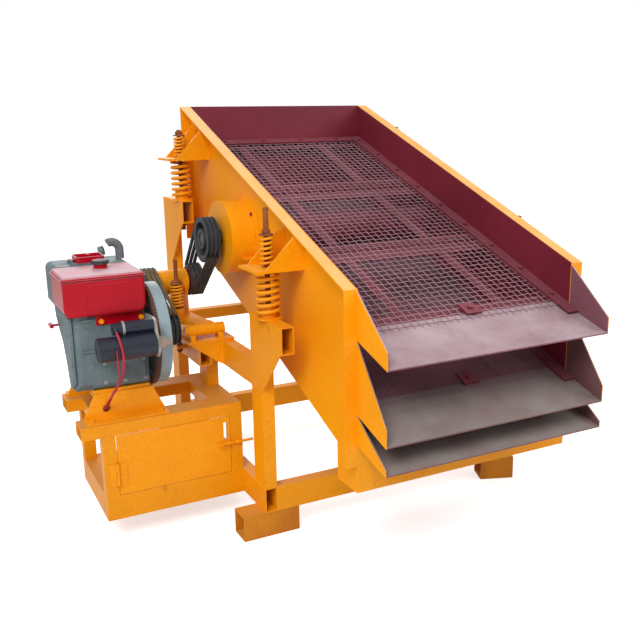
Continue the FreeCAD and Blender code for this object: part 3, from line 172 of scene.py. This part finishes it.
def weathered(name, base, shade, dust="C9B6A0", dusty=0.35, rust="5A2A12", rusty=0.12,
              roughness=0.42, grain=0.12, inner=None, wear_scale=9.0, coat=0.0,
              reach=BOX_LENGTH / 2 - PLATE / 2):
    """Paint with uneven colour, dust on what faces up, and small rusty chips.

    inner is a second (base, shade) pair for the faces between the two side plates, as far
    from the middle of the box as reach says.
    """
    g = Graph(name)
    patch = g.span(g.noise(2.2, 5.0), 0.35, 0.65)
    colour = g.mix(patch, rgb(base), rgb(shade))
    if inner:
        across = g.math("ABSOLUTE", g.math("SUBTRACT", g.axis("X"), BOX_MIDDLE), 0.0)
        along = g.math("ABSOLUTE", g.math("SUBTRACT", g.axis("Y"), BOX_MIDDLE_Y), 0.0)
        inside = g.math("MULTIPLY", g.math("LESS_THAN", across, BOX_WIDTH / 2 - PLATE / 2),
                        g.math("LESS_THAN", along, reach))
        colour = g.mix(inside, colour, g.mix(patch, rgb(inner[0]), rgb(inner[1])))
    speck = g.span(g.noise(95.0, 3.0), 0.3, 0.7, 0.86, 1.08)
    speck_colour = g.tree.nodes.new("ShaderNodeCombineColor")
    for channel in ("Red", "Green", "Blue"):
        g.link(speck, speck_colour.inputs[channel])
    colour = g.mix(0.6, colour, speck_colour.outputs["Color"], "MULTIPLY")
    up = g.span(g.facing_up(), 0.25, 0.9)
    settled = g.span(g.noise(6.5, 6.0, 0.65), 0.25, 0.7, 0.35, 1.0)
    cover = g.math("MULTIPLY", g.math("MULTIPLY", up, settled), dusty)
    colour = g.mix(cover, colour, rgb(dust))
    chips = g.span(g.noise(wear_scale, 9.0, 0.72, 0.6), 0.64, 0.69)
    chips = g.math("MULTIPLY", chips, rusty)
    colour = g.mix(chips, colour, rgb(rust))
    rough = g.math("ADD", g.math("MULTIPLY", cover, 0.45), roughness)
    rough = g.math("ADD", rough, g.math("MULTIPLY", chips, 0.3))
    g.bump(g.noise(240.0, 3.0), grain, 0.0006)
    return g.finish(colour, rough, coat=coat, specular=0.25)


def cast(name, base, shade, grime, greasy=0.5, roughness=0.55, grain=0.5, metallic=0.0):
    """Castings and dark machined parts: rough skin with grime that gathers in patches."""
    g = Graph(name)
    patch = g.span(g.noise(7.0, 6.0, 0.6), 0.35, 0.68)
    colour = g.mix(patch, rgb(base), rgb(shade))
    dirt = g.span(g.noise(15.0, 8.0, 0.7, 0.5), 0.48, 0.7, 0.0, greasy)
    colour = g.mix(dirt, colour, rgb(grime))
    rough = g.math("ADD", g.math("MULTIPLY", patch, 0.15), roughness)
    g.bump(g.noise(330.0, 4.0, 0.6), grain, 0.0005)
    return g.finish(colour, rough, metallic)


def rusted(name, base, shade, pits):
    g = Graph(name)
    patch = g.span(g.noise(22.0, 8.0, 0.7, 0.4), 0.35, 0.65)
    colour = g.mix(patch, rgb(base), rgb(shade))
    spots = g.span(g.noise(140.0, 5.0, 0.6), 0.5, 0.7)
    colour = g.mix(g.math("MULTIPLY", spots, 0.6), colour, rgb(pits))
    g.bump(g.noise(260.0, 5.0, 0.7), 0.7, 0.0008)
    return g.finish(colour, 0.82, 0.1)


YELLOW = ("F49E02", "EA9200")
MAROON = ("7C2635", "691F2C")
BEYOND = 10.0    # a reach past every part of the machine

MATERIALS = {
    "yellow": weathered("yellow_paint", *YELLOW, dust="D8A64C", dusty=0.12, rusty=0.3),
    "yellow_clean": weathered("yellow_paint_clean", *YELLOW, dust="D8A64C", dusty=0.08,
                              rusty=0.2),
    "rim": weathered("yellow_rim", *YELLOW, dust="EBCF9A", dusty=0.62, rusty=0.25),
    "plates": weathered("box_plates", *YELLOW, inner=MAROON, dust="B08050", dusty=0.12,
                        rusty=0.25),
    "maroon": weathered("maroon_paint", *MAROON, dust="9A7078", dusty=0.35, rusty=0.3,
                        roughness=0.5),
    "upper_chute": weathered("upper_chute_paint", *YELLOW, inner=("8A6068", "7A4C56"),
                             dust="B5A3A8", dusty=0.9, rusty=0.15, roughness=0.5,
                             reach=BEYOND),
    "lower_chutes": weathered("lower_chute_paint", *YELLOW, inner=("7A5A5A", "6A4446"),
                              dust="8B857F", dusty=0.95, rusty=0.5, rust="8A5A30",
                              roughness=0.55, wear_scale=4.0, reach=BEYOND),
    "cloth": weathered("screen_wire", "A58088", "8A646E", dust="B8A0A6", dusty=0.6, rusty=0.3,
                       roughness=0.5),
    "stand": weathered("stand_paint", "EE9A04", "E28E02", dust="B58E58", dusty=0.6,
                       rusty=0.3),
    "feet": weathered("foot_paint", "D88A1C", "A8580E", dust="D8B86A", dusty=0.35, rusty=0.9,
                      rust="5A3014", wear_scale=7.0, roughness=0.6),
    "engine": cast("engine_enamel", "687A7E", "566468", "343A3A"),
    "red": weathered("tank_enamel", "B4001C", "A00016", dust="C4B4BE", dusty=0.9, rusty=0.05,
                     roughness=0.3, grain=0.03, coat=0.05),
    "dark_iron": cast("dark_iron", "363E46", "262C32", "5A4A3C", roughness=0.5),
    "shaft": cast("bright_steel", "8C8A86", "6E6A66", "4A3424", roughness=0.35, metallic=0.8),
    "flywheel": cast("flywheel_paint", "90A9B1", "7E969E", "6A5A4C", greasy=0.35,
                     roughness=0.42),
    "ring_gear": cast("ring_gear_steel", "6E4A3C", "543628", "2E2420", roughness=0.55),
    "rust": rusted("rusty_rod", "9A5426", "7A3A18", "4A2210"),
    "starter": cast("starter_enamel", "1C2436", "161B26", "3A3834", greasy=0.25,
                    roughness=0.35, grain=0.15),
    "alloy": cast("light_alloy", "A9ABA8", "8E908E", "4A443C", roughness=0.42, metallic=0.4),
    "belt_dark": cast("belt_dark", "34383E", "26292E", "5A5652", roughness=0.7),
    "belt_dusty": cast("belt_dusty", "6E5C3C", "544630", "34302A", roughness=0.8),
    "brown_iron": cast("brown_iron", "5A2E20", "46241A", "8A4A1E", roughness=0.6),
    "red_cable": cast("red_cable_sheath", "B3183A", "96102C", "5A1A20", greasy=0.3,
                      roughness=0.4, grain=0.1),
    "pipe": rusted("exhaust_steel", "7E8890", "626A70", "5A4238"),
}

NODE_MATERIALS = {
    "yellow": ("corner_posts", "spring_beams", "frame_rails", "pivot_support", "spring_cups",
               "spring_brackets", "tension_arm", "exciter_guards", "main_springs_front",
               "main_springs_rear", "rebound_springs_front", "rebound_springs_rear",
               "tension_spring", "floor_frame"),
    "yellow_clean": ("stand_door", "door_bolt", "door_fittings", "engine_mounts"),
    "rim": ("rim_flanges",),
    "plates": ("side_plates", "end_plates"),
    "maroon": ("bottom_pan", "upper_deck_frame", "lower_deck_frame",
               "mesh_clamps", "box_bolts", "exciter_tube"),
    "upper_chute": ("upper_chute",),
    "lower_chutes": ("middle_chute", "lower_chute"),
    "cloth": ("upper_mesh", "lower_mesh"),
    "stand": ("stand_frame", "stand_floor"),
    "feet": ("feet",),
    "engine": ("engine_block", "engine_covers", "cylinder_head", "water_hopper"),
    "red": ("fuel_tank", "hopper_lid", "decompression_knob"),
    "dark_iron": ("exciter_pulley", "engine_pulley", "driven_sheave", "tank_cap"),
    "brown_iron": ("drive_pulley",),
    "shaft": ("jackshaft", "exciter_shaft"),
    "flywheel": ("flywheel",),
    "ring_gear": ("ring_gear",),
    "rust": ("spring_rods", "tension_rod"),
    "starter": ("starter_motor",),
    "alloy": ("starter_bracket",),
    "belt_dark": ("exciter_belt",),
    "belt_dusty": ("engine_belt",),
    "red_cable": ("starter_cable", "starter_wire"),
    "pipe": ("exhaust_pipe",),
}


def dress(obj, material):
    obj.data.materials.clear()
    obj.data.materials.append(MATERIALS[material])


for material, names in NODE_MATERIALS.items():
    for name in names:
        dress(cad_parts[name], material)


# ------------------------------------------------------------------ tools
def only(*objects):
    """Selects these objects and nothing else, the first one active."""
    bpy.ops.object.select_all(action="DESELECT")
    for obj in objects:
        obj.select_set(True)
    bpy.context.view_layer.objects.active = objects[0]


def settle(obj):
    """Applies an object's modifiers and its place, turn and scale."""
    only(obj)
    for modifier in list(obj.modifiers):
        bpy.ops.object.modifier_apply(modifier=modifier.name)
    bpy.ops.object.transform_apply(location=True, rotation=True, scale=True)


def joined(objects):
    only(*objects)
    bpy.ops.object.join()
    return bpy.context.object


def copied(obj, offset):
    """A copy with its own mesh, moved by an offset."""
    only(obj)
    bpy.ops.object.duplicate(linked=False)
    twin = bpy.context.object
    twin.location = offset
    bpy.ops.object.transform_apply(location=True, rotation=False, scale=False)
    return twin


def pick(obj, kind, test):
    """In edit mode, selects the vertices, edges or faces whose middle passes a test."""
    bpy.ops.mesh.select_mode(type=kind)
    bpy.ops.mesh.select_all(action="DESELECT")
    bpy.ops.object.mode_set(mode="OBJECT")
    mesh = obj.data
    if kind == "VERT":
        for vertex in mesh.vertices:
            vertex.select = test(vertex.co)
    elif kind == "EDGE":
        for edge in mesh.edges:
            first, second = (mesh.vertices[i].co for i in edge.vertices)
            edge.select = test(first, second)
    else:
        for face in mesh.polygons:
            face.select = test(face.center, face.normal)
    bpy.ops.object.mode_set(mode="EDIT")


def finished(obj, name, material, body=None, nodes=(), smooth=35):
    """Names a piece, gives it its material and slot, and lets it ride on its body."""
    settle(obj)
    obj.name = name
    obj.data.name = name
    dress(obj, material)
    only(obj)
    bpy.ops.object.shade_smooth_by_angle(angle=math.radians(smooth))
    if body:
        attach(obj, body)
    if nodes:
        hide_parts(*nodes)
    return obj


# ------------------------------------------------------------------ springs
SPRING_STEPS = 14    # cross-sections in half a turn
WELD = 0.02 * MM     # points closer than this are one


def spring_shape(radius, wire, turns, height):
    """Open helical spring round the Z axis with its lowest point at zero."""
    bpy.ops.object.select_all(action="DESELECT")
    bpy.ops.mesh.primitive_circle_add(vertices=12, radius=wire, location=(radius, 0, 0),
                                      rotation=(math.pi / 2, 0, 0))
    obj = bpy.context.object
    settle(obj)
    halves = int(round(turns * 2))
    screw = obj.modifiers.new("screw", "SCREW")
    screw.angle = math.pi
    screw.screw_offset = (height - 2 * wire) / halves
    screw.iterations = halves
    screw.steps = SPRING_STEPS
    screw.render_steps = SPRING_STEPS
    screw.use_merge_vertices = True
    screw.merge_threshold = WELD
    obj.location.z = wire
    settle(obj)
    bpy.ops.object.mode_set(mode="EDIT")
    bpy.ops.mesh.select_all(action="SELECT")
    bpy.ops.mesh.remove_doubles(threshold=WELD)
    bpy.ops.mesh.fill_holes(sides=0)
    bpy.ops.mesh.select_all(action="SELECT")
    bpy.ops.mesh.normals_make_consistent(inside=False)
    bpy.ops.object.mode_set(mode="OBJECT")
    return obj


def springs(node, name, wire, turns, heights=None):
    """A spring on each side of the machine, in place of one CAD node."""
    low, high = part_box(node)
    radius = (high.y - low.y) / 2 - wire
    reach = radius + wire
    middle = (low.y + high.y) / 2
    sides = (("left", low.x + reach), ("right", high.x - reach))
    if high.x - low.x < 3 * reach:
        sides = sides[:1]
    for place_name, x in sides:
        height = (heights or {}).get(place_name, high.z - low.z)
        obj = spring_shape(radius, wire, turns, height)
        obj.location = (x, middle, low.z)
        obj = finished(obj, name + "_" + place_name, "yellow", nodes=(node,))
        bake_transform(obj)


def make_springs():
    springs("main_springs_front", "main_spring_front", 7 * MM, 6.5)
    springs("main_springs_rear", "main_spring_rear", 7 * MM, 6.5)
    springs("rebound_springs_front", "rebound_spring_front", 5 * MM, 6,
            {"right": 88.7 * MM})
    springs("rebound_springs_rear", "rebound_spring_rear", 5 * MM, 6)
    springs("tension_spring", "belt_tension_spring", 4.5 * MM, 7)


# ------------------------------------------------------------------ screen cloths
def crimped_wire(pitch, radius, crimp, sides, rings):
    """Two pitches of a wire along Y that waves over and under the wires it crosses."""
    bpy.ops.object.select_all(action="DESELECT")
    bpy.ops.mesh.primitive_cylinder_add(vertices=sides, radius=radius, depth=2 * pitch,
                                        end_fill_type="NOTHING",
                                        rotation=(math.pi / 2, 0, 0))
    obj = bpy.context.object
    settle(obj)
    bpy.ops.object.mode_set(mode="EDIT")
    pick(obj, "EDGE", lambda a, b: abs(a.y - b.y) > pitch)
    bpy.ops.mesh.subdivide(number_cuts=rings - 1)
    step = 2 * pitch / rings
    for k in range(rings + 1):
        station = -pitch + k * step
        pick(obj, "VERT", lambda co: abs(co.y - station) < step / 4)
        lift = crimp * math.cos(math.pi * station / pitch)
        bpy.ops.transform.translate(value=(0, 0, lift))
    bpy.ops.object.mode_set(mode="OBJECT")
    return obj


def repeat(obj, count, offset):
    array = obj.modifiers.new("array", "ARRAY")
    array.count = count
    array.use_relative_offset = False
    array.use_constant_offset = True
    array.constant_offset_displace = offset
    array.use_merge_vertices = True
    array.merge_threshold = 0.05 * MM


def wire_layer(pitch, radius, crimp, width, length, sides, rings):
    """All wires along Y, every second one half a wave on, in the middle of the cloth."""
    pairs = int(width / pitch / 2)
    waves = int(length / pitch / 2)
    first = crimped_wire(pitch, radius, crimp, sides, rings)
    second = crimped_wire(pitch, radius, -crimp, sides, rings)
    second.location.x = pitch
    settle(second)
    pair = joined([first, second])
    repeat(pair, waves, (0, 2 * pitch, 0))
    repeat(pair, pairs, (2 * pitch, 0, 0))
    settle(pair)
    pair.location = (-(pairs - 0.5) * pitch, -(waves - 1) * pitch, 0)
    settle(pair)
    return pair


def make_cloth(node, name, pitch, radius, sides, rings):
    """Woven cloth that fills a deck, in place of its plain wires."""
    low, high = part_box(node)
    width = high.x - low.x
    length = (high.y - low.y) / math.cos(INCLINE)
    crimp = radius
    lengthwise = wire_layer(pitch, radius, crimp, width, length, sides, rings)
    crosswise = wire_layer(pitch, radius, -crimp, length, width, sides, rings)
    crosswise.rotation_euler.z = math.pi / 2
    settle(crosswise)
    cloth = joined([lengthwise, crosswise])
    cloth.rotation_euler.x = INCLINE
    cloth.location = (low + high) / 2
    return finished(cloth, name, "cloth", "screen_box", (node,), smooth=60)


def make_fine_cloth(node, name, pitch, radius):
    """Fine cloth of thin straight wires, too close to show their waves."""
    low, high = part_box(node)
    width = high.x - low.x
    length = (high.y - low.y) / math.cos(INCLINE)
    layers = []
    lengthwise = (length, width, radius, 0)
    crosswise = (width, length, -radius, math.pi / 2)
    for size, span, level, turn in (lengthwise, crosswise):
        bpy.ops.object.select_all(action="DESELECT")
        bpy.ops.mesh.primitive_cylinder_add(vertices=4, radius=radius, depth=size,
                                            end_fill_type="NOTHING",
                                            rotation=(math.pi / 2, 0, 0))
        wire = bpy.context.object
        settle(wire)
        count = int(span / pitch)
        repeat(wire, count, (pitch, 0, 0))
        settle(wire)
        wire.location = (-(count - 1) * pitch / 2, 0, level)
        settle(wire)
        wire.rotation_euler.z = turn
        settle(wire)
        layers.append(wire)
    cloth = joined(layers)
    cloth.rotation_euler.x = INCLINE
    cloth.location = (low + high) / 2
    return finished(cloth, name, "cloth", "screen_box", (node,), smooth=60)


# ------------------------------------------------------------------ belts
BELTS = 3              # side by side on each drive
BELT_SPACE = 3 * MM    # between two of them
BELT_GAP = 0.4 * MM    # between belt and pulley
BELT_TAPER = 0.66      # inner width of the section over its outer width
BELT_STEPS = 32        # faces round each pulley


def wheel(node, gap):
    """Centre of a pulley and the radius at which a belt runs round it, from its box."""
    low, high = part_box(node)
    return ((low.y + high.y) / 2, (low.z + high.z) / 2, (high.z - low.z) / 2 + gap)


def vee_belt(left, width, height, first, second):
    """One V-belt: a tapered section carried round both pulleys by spins and straight runs."""
    (ya, za, ra), (yb, zb, rb) = first, second
    span = math.hypot(yb - ya, zb - za)
    line = math.atan2(zb - za, yb - ya)
    lean = math.acos((ra - rb) / span)
    x = left + width / 2
    bpy.ops.object.select_all(action="DESELECT")
    bpy.ops.mesh.primitive_plane_add(size=1)
    obj = bpy.context.object
    obj.scale = (width, height, 1)
    settle(obj)
    bpy.ops.object.mode_set(mode="EDIT")
    pick(obj, "VERT", lambda co: co.y < 0)
    bpy.ops.transform.resize(value=(BELT_TAPER, 1, 1), center_override=(0, -height / 2, 0))
    bpy.ops.object.mode_set(mode="OBJECT")
    start = line + lean
    middle = ra + height / 2
    obj.rotation_euler.x = start
    obj.location = (x, ya + middle * math.cos(start), za + middle * math.sin(start))
    settle(obj)
    run = Vector((0, yb + rb * math.cos(line - lean) - ya - ra * math.cos(line - lean),
                  zb + rb * math.sin(line - lean) - za - ra * math.sin(line - lean)))
    back = Vector((0, ya + ra * math.cos(start) - yb - rb * math.cos(start),
                   za + ra * math.sin(start) - zb - rb * math.sin(start)))
    bpy.ops.object.mode_set(mode="EDIT")
    bpy.ops.mesh.select_all(action="SELECT")
    bpy.ops.mesh.spin(steps=BELT_STEPS, angle=2 * math.pi - 2 * lean, center=(x, ya, za),
                      axis=(1, 0, 0))
    bpy.ops.mesh.extrude_region_move(TRANSFORM_OT_translate={"value": run})
    bpy.ops.mesh.spin(steps=BELT_STEPS, angle=2 * lean, center=(x, yb, zb), axis=(1, 0, 0))
    bpy.ops.mesh.extrude_region_move(TRANSFORM_OT_translate={"value": back})
    bpy.ops.mesh.select_all(action="SELECT")
    bpy.ops.mesh.remove_doubles(threshold=0.1 * MM)
    bpy.ops.mesh.select_all(action="DESELECT")
    bpy.ops.mesh.select_mode(type="FACE")
    bpy.ops.mesh.select_interior_faces()
    bpy.ops.mesh.delete(type="FACE")
    bpy.ops.mesh.select_all(action="SELECT")
    bpy.ops.mesh.normals_make_consistent(inside=False)
    bpy.ops.object.mode_set(mode="OBJECT")
    return obj


def make_belt_set(node, name, material, first, second):
    """Three V-belts side by side, in place of the plain belt."""
    low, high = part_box(node)
    lane = (high.x - low.x) / BELTS
    one = wheel(first, BELT_GAP)
    two = wheel(second, BELT_GAP)
    height = high.z - max(one[1] + one[2], two[1] + two[2]) - 1 * MM
    belts = [vee_belt(low.x + BELT_SPACE / 2, lane - BELT_SPACE, height, one, two)]
    for k in range(1, BELTS):
        belts.append(copied(belts[0], (k * lane, 0, 0)))
    obj = finished(joined(belts), name, material, nodes=(node,), smooth=40)
    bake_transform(obj)


def make_belts():
    make_belt_set("engine_belt", "engine_belts", "belt_dusty", "engine_pulley",
                  "driven_sheave")
    make_belt_set("exciter_belt", "exciter_belts", "belt_dark", "drive_pulley",
                  "exciter_pulley")


# ------------------------------------------------------------------ bolts and welds
def hex_bolt(across, height):
    """Washer and chamfered hexagon head that point up from zero."""
    bpy.ops.object.select_all(action="DESELECT")
    bpy.ops.mesh.primitive_cylinder_add(vertices=6, radius=across / math.sqrt(3), depth=height,
                                        location=(0, 0, 0.2 * height + height / 2))
    head = bpy.context.object
    settle(head)
    top = 1.2 * height
    bpy.ops.object.mode_set(mode="EDIT")
    pick(head, "FACE", lambda centre, normal: centre.z > top - 0.1 * MM)
    bpy.ops.mesh.inset(thickness=0.08 * across)
    bpy.ops.transform.translate(value=(0, 0, 0.1 * height))
    bpy.ops.object.mode_set(mode="OBJECT")
    bpy.ops.object.select_all(action="DESELECT")
    bpy.ops.mesh.primitive_cylinder_add(vertices=20, radius=0.85 * across, depth=0.2 * height,
                                        location=(0, 0, 0.1 * height))
    washer = bpy.context.object
    bevel = washer.modifiers.new("bevel", "BEVEL")
    bevel.width = 0.06 * height
    bevel.limit_method = "ANGLE"
    settle(washer)
    return joined([head, washer])


def bolt_set(name, across, height, turn, spots, material):
    """The same bolt at each spot; turn is its rotation from upright."""
    first = hex_bolt(across, height)
    first.rotation_euler = turn
    settle(first)
    origin = spots[0]
    bolts = [copied(first, place(*spot)) for spot in spots[1:]]
    first.location = place(*origin)
    settle(first)
    return finished(joined([first] + bolts), name, material, "base")


def bead(start, end, radius=3 * MM):
    """Uneven weld bead between two points, its ends just short of them."""
    inset = (end - start).normalized() * 2 * radius
    start, end = start + inset, end - inset
    run = end - start
    bpy.ops.object.select_all(action="DESELECT")
    bpy.ops.mesh.primitive_cylinder_add(vertices=8, radius=radius, depth=run.length)
    obj = bpy.context.object
    bpy.ops.object.mode_set(mode="EDIT")
    half = run.length / 2
    pick(obj, "EDGE", lambda a, b: abs(a.z - b.z) > half)
    bpy.ops.mesh.subdivide(number_cuts=max(2, int(run.length / (5 * MM))))
    bpy.ops.object.mode_set(mode="OBJECT")
    obj.rotation_euler = run.to_track_quat("Z", "Y").to_euler()
    obj.location = (start + end) / 2
    settle(obj)
    ripple = obj.modifiers.new("ripple", "DISPLACE")
    ripple.texture = bpy.data.textures["weld_ripple"]
    ripple.texture_coords = "GLOBAL"
    ripple.strength = 2 * MM
    settle(obj)
    return obj


def make_welds():
    """Beads round the four corner posts where they stand on the floor frame.

    The rear posts have none behind, where they are flush with the frame's end.
    """
    texture = bpy.data.textures.new("weld_ripple", "CLOUDS")
    texture.noise_scale = 7 * MM
    low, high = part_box("corner_posts")
    across, along = 50 * MM, 100 * MM
    beads = []
    for x in (low.x, high.x - across):
        for y in (low.y, high.y - along):
            corners = [Vector((x, y, low.z)), Vector((x + across, y, low.z)),
                       Vector((x + across, y + along, low.z)), Vector((x, y + along, low.z))]
            sides = (0, 1, 3) if y > low.y else (0, 1, 2, 3)
            for k in sides:
                beads.append(bead(corners[k], corners[(k + 1) % 4]))
    finished(joined(beads), "post_welds", "yellow", "base", smooth=60)


def make_engine_bolts():
    facing = (math.pi / 2, 0, 0)
    spots = [(x, 763, z) for x in (-653, -579, -505) for z in (636, 712)]
    bolt_set("side_cover_bolts", 9 * MM, 6 * MM, facing, spots, "alloy")


def solenoid_band():
    """Clip round the starter's solenoid."""
    bpy.ops.object.select_all(action="DESELECT")
    bpy.ops.mesh.primitive_cylinder_add(vertices=40, radius=25.6 * MM, depth=9 * MM,
                                        end_fill_type="NOTHING",
                                        rotation=(0, math.pi / 2, 0),
                                        location=place(-598, 668, 862))
    obj = bpy.context.object
    sheet = obj.modifiers.new("sheet", "SOLIDIFY")
    sheet.thickness = 1.2 * MM
    sheet.offset = 1.0
    bevel = obj.modifiers.new("bevel", "BEVEL")
    bevel.width = 0.4 * MM
    finished(obj, "solenoid_band", "alloy", "base")


# ------------------------------------------------------------------ starter cables
STARTER_CABLE = ((-628, 636, 856), (-620, 597, 812), (-617, 596, 756), (-622, 610, 700),
                 (-634, 650, 652), (-646, 700, 608), (-653, 748, 558), (-655, 796, 516))
STARTER_WIRE = ((-640, 596, 802), (-640, 596, 754), (-636, 600, 704), (-638, 624, 660),
                (-648, 660, 622), (-658, 704, 590), (-664, 744, 554), (-665, 786, 520))


def make_cable(name, node, route, radius):
    curve = bpy.data.curves.new(name, "CURVE")
    curve.dimensions = "3D"
    spline = curve.splines.new("NURBS")
    spline.points.add(len(route) - 1)
    for point, corner in zip(spline.points, route):
        point.co = (*place(*corner), 1)
    spline.order_u = 3
    spline.use_endpoint_u = True
    curve.bevel_depth = radius
    curve.bevel_resolution = 4
    curve.resolution_u = 12
    curve.use_fill_caps = True
    obj = bpy.data.objects.new(name, curve)
    bpy.context.scene.collection.objects.link(obj)
    dress(obj, "red_cable")
    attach(obj, "base")
    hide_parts(node)


# ---------------------------------------------------------------- stage, lamps
LENS = 45.88
PITCH, YAW, ROLL = -13.8, -26.7, -0.9
CAMERA_SPOT = (-1247.5, -2219.8, 1586.8)
LAMP_SIZE = 3.0
LAMPS = (("key", (-3.2, -3.4, 4.6), (0, 0, 0.8), 230),
         ("fill", (3.8, -2.8, 3.0), (0, 0, 0.8), 90),
         ("back", (0.5, 4.2, 3.6), (0, 0, 0.9), 110))
FLOOR_GLOW = 0.6       # lifts the lit floor to white for the camera, and keeps its shadow
WORLD_LIGHT = 0.55


def make_stage():
    low = BOX_AT_LOAD[0][2]
    bpy.ops.mesh.primitive_plane_add(size=40, location=(BOX_MIDDLE, 0, low - 0.002))
    floor = bpy.context.object
    floor.name = "floor"
    g = Graph("floor_white")
    path = g.tree.nodes.new("ShaderNodeLightPath")
    g.finish((0.86, 0.86, 0.86, 1.0), 0.9)
    g.shader.inputs["Emission Color"].default_value = (1, 1, 1, 1)
    g.link(g.math("MULTIPLY", path.outputs["Is Camera Ray"], FLOOR_GLOW),
           g.shader.inputs["Emission Strength"])
    floor.data.materials.append(g.material)


def make_world():
    world = bpy.data.worlds.new("studio")
    bpy.context.scene.world = world
    world.use_nodes = True
    tree = world.node_tree
    background = tree.nodes["Background"]
    path = tree.nodes.new("ShaderNodeLightPath")
    seen = tree.nodes.new("ShaderNodeMath")
    seen.operation = "MAXIMUM"
    tree.links.new(path.outputs["Is Camera Ray"], seen.inputs[0])
    tree.links.new(path.outputs["Is Transmission Ray"], seen.inputs[1])
    strength = tree.nodes.new("ShaderNodeMapRange")
    strength.inputs["To Min"].default_value = WORLD_LIGHT
    strength.inputs["To Max"].default_value = 1.0
    tree.links.new(seen.outputs["Value"], strength.inputs["Value"])
    tree.links.new(strength.outputs["Result"], background.inputs["Strength"])
    background.inputs["Color"].default_value = (1, 1, 1, 1)


def add_lamp(name, location, target, power):
    lamp = bpy.data.lights.new(name, "AREA")
    lamp.shape = "DISK"
    lamp.size = LAMP_SIZE
    lamp.energy = power
    obj = bpy.data.objects.new(name, lamp)
    obj.location = location
    obj.rotation_euler = (Vector(target) - Vector(location)).to_track_quat("-Z", "Y").to_euler()
    bpy.context.scene.collection.objects.link(obj)


def make_camera():
    camera = bpy.data.cameras.new("camera")
    camera.sensor_width = 36
    camera.lens = LENS
    obj = bpy.data.objects.new("camera", camera)
    turn = Euler((math.radians(90 + PITCH), 0, math.radians(YAW))).to_matrix()
    turn = turn @ Matrix.Rotation(math.radians(ROLL), 3, "Z")
    obj.matrix_world = Matrix.Translation(place(*CAMERA_SPOT)) @ turn.to_4x4()
    bpy.context.scene.collection.objects.link(obj)
    bpy.context.scene.camera = obj


make_camera()
make_cable("starter_cable_red", "starter_cable", STARTER_CABLE, 5 * MM)
make_cable("starter_wire_red", "starter_wire", STARTER_WIRE, 2.5 * MM)
make_stage()
make_world()
for lamp_settings in LAMPS:
    add_lamp(*lamp_settings)
make_springs()
make_cloth("upper_mesh", "upper_screen_cloth", 30 * MM, 1.7 * MM, 5, 6)
make_fine_cloth("lower_mesh", "lower_screen_cloth", 10 * MM, 0.9 * MM)
make_belts()
make_welds()
make_engine_bolts()
solenoid_band()

bpy.context.scene.view_settings.view_transform = "Standard"
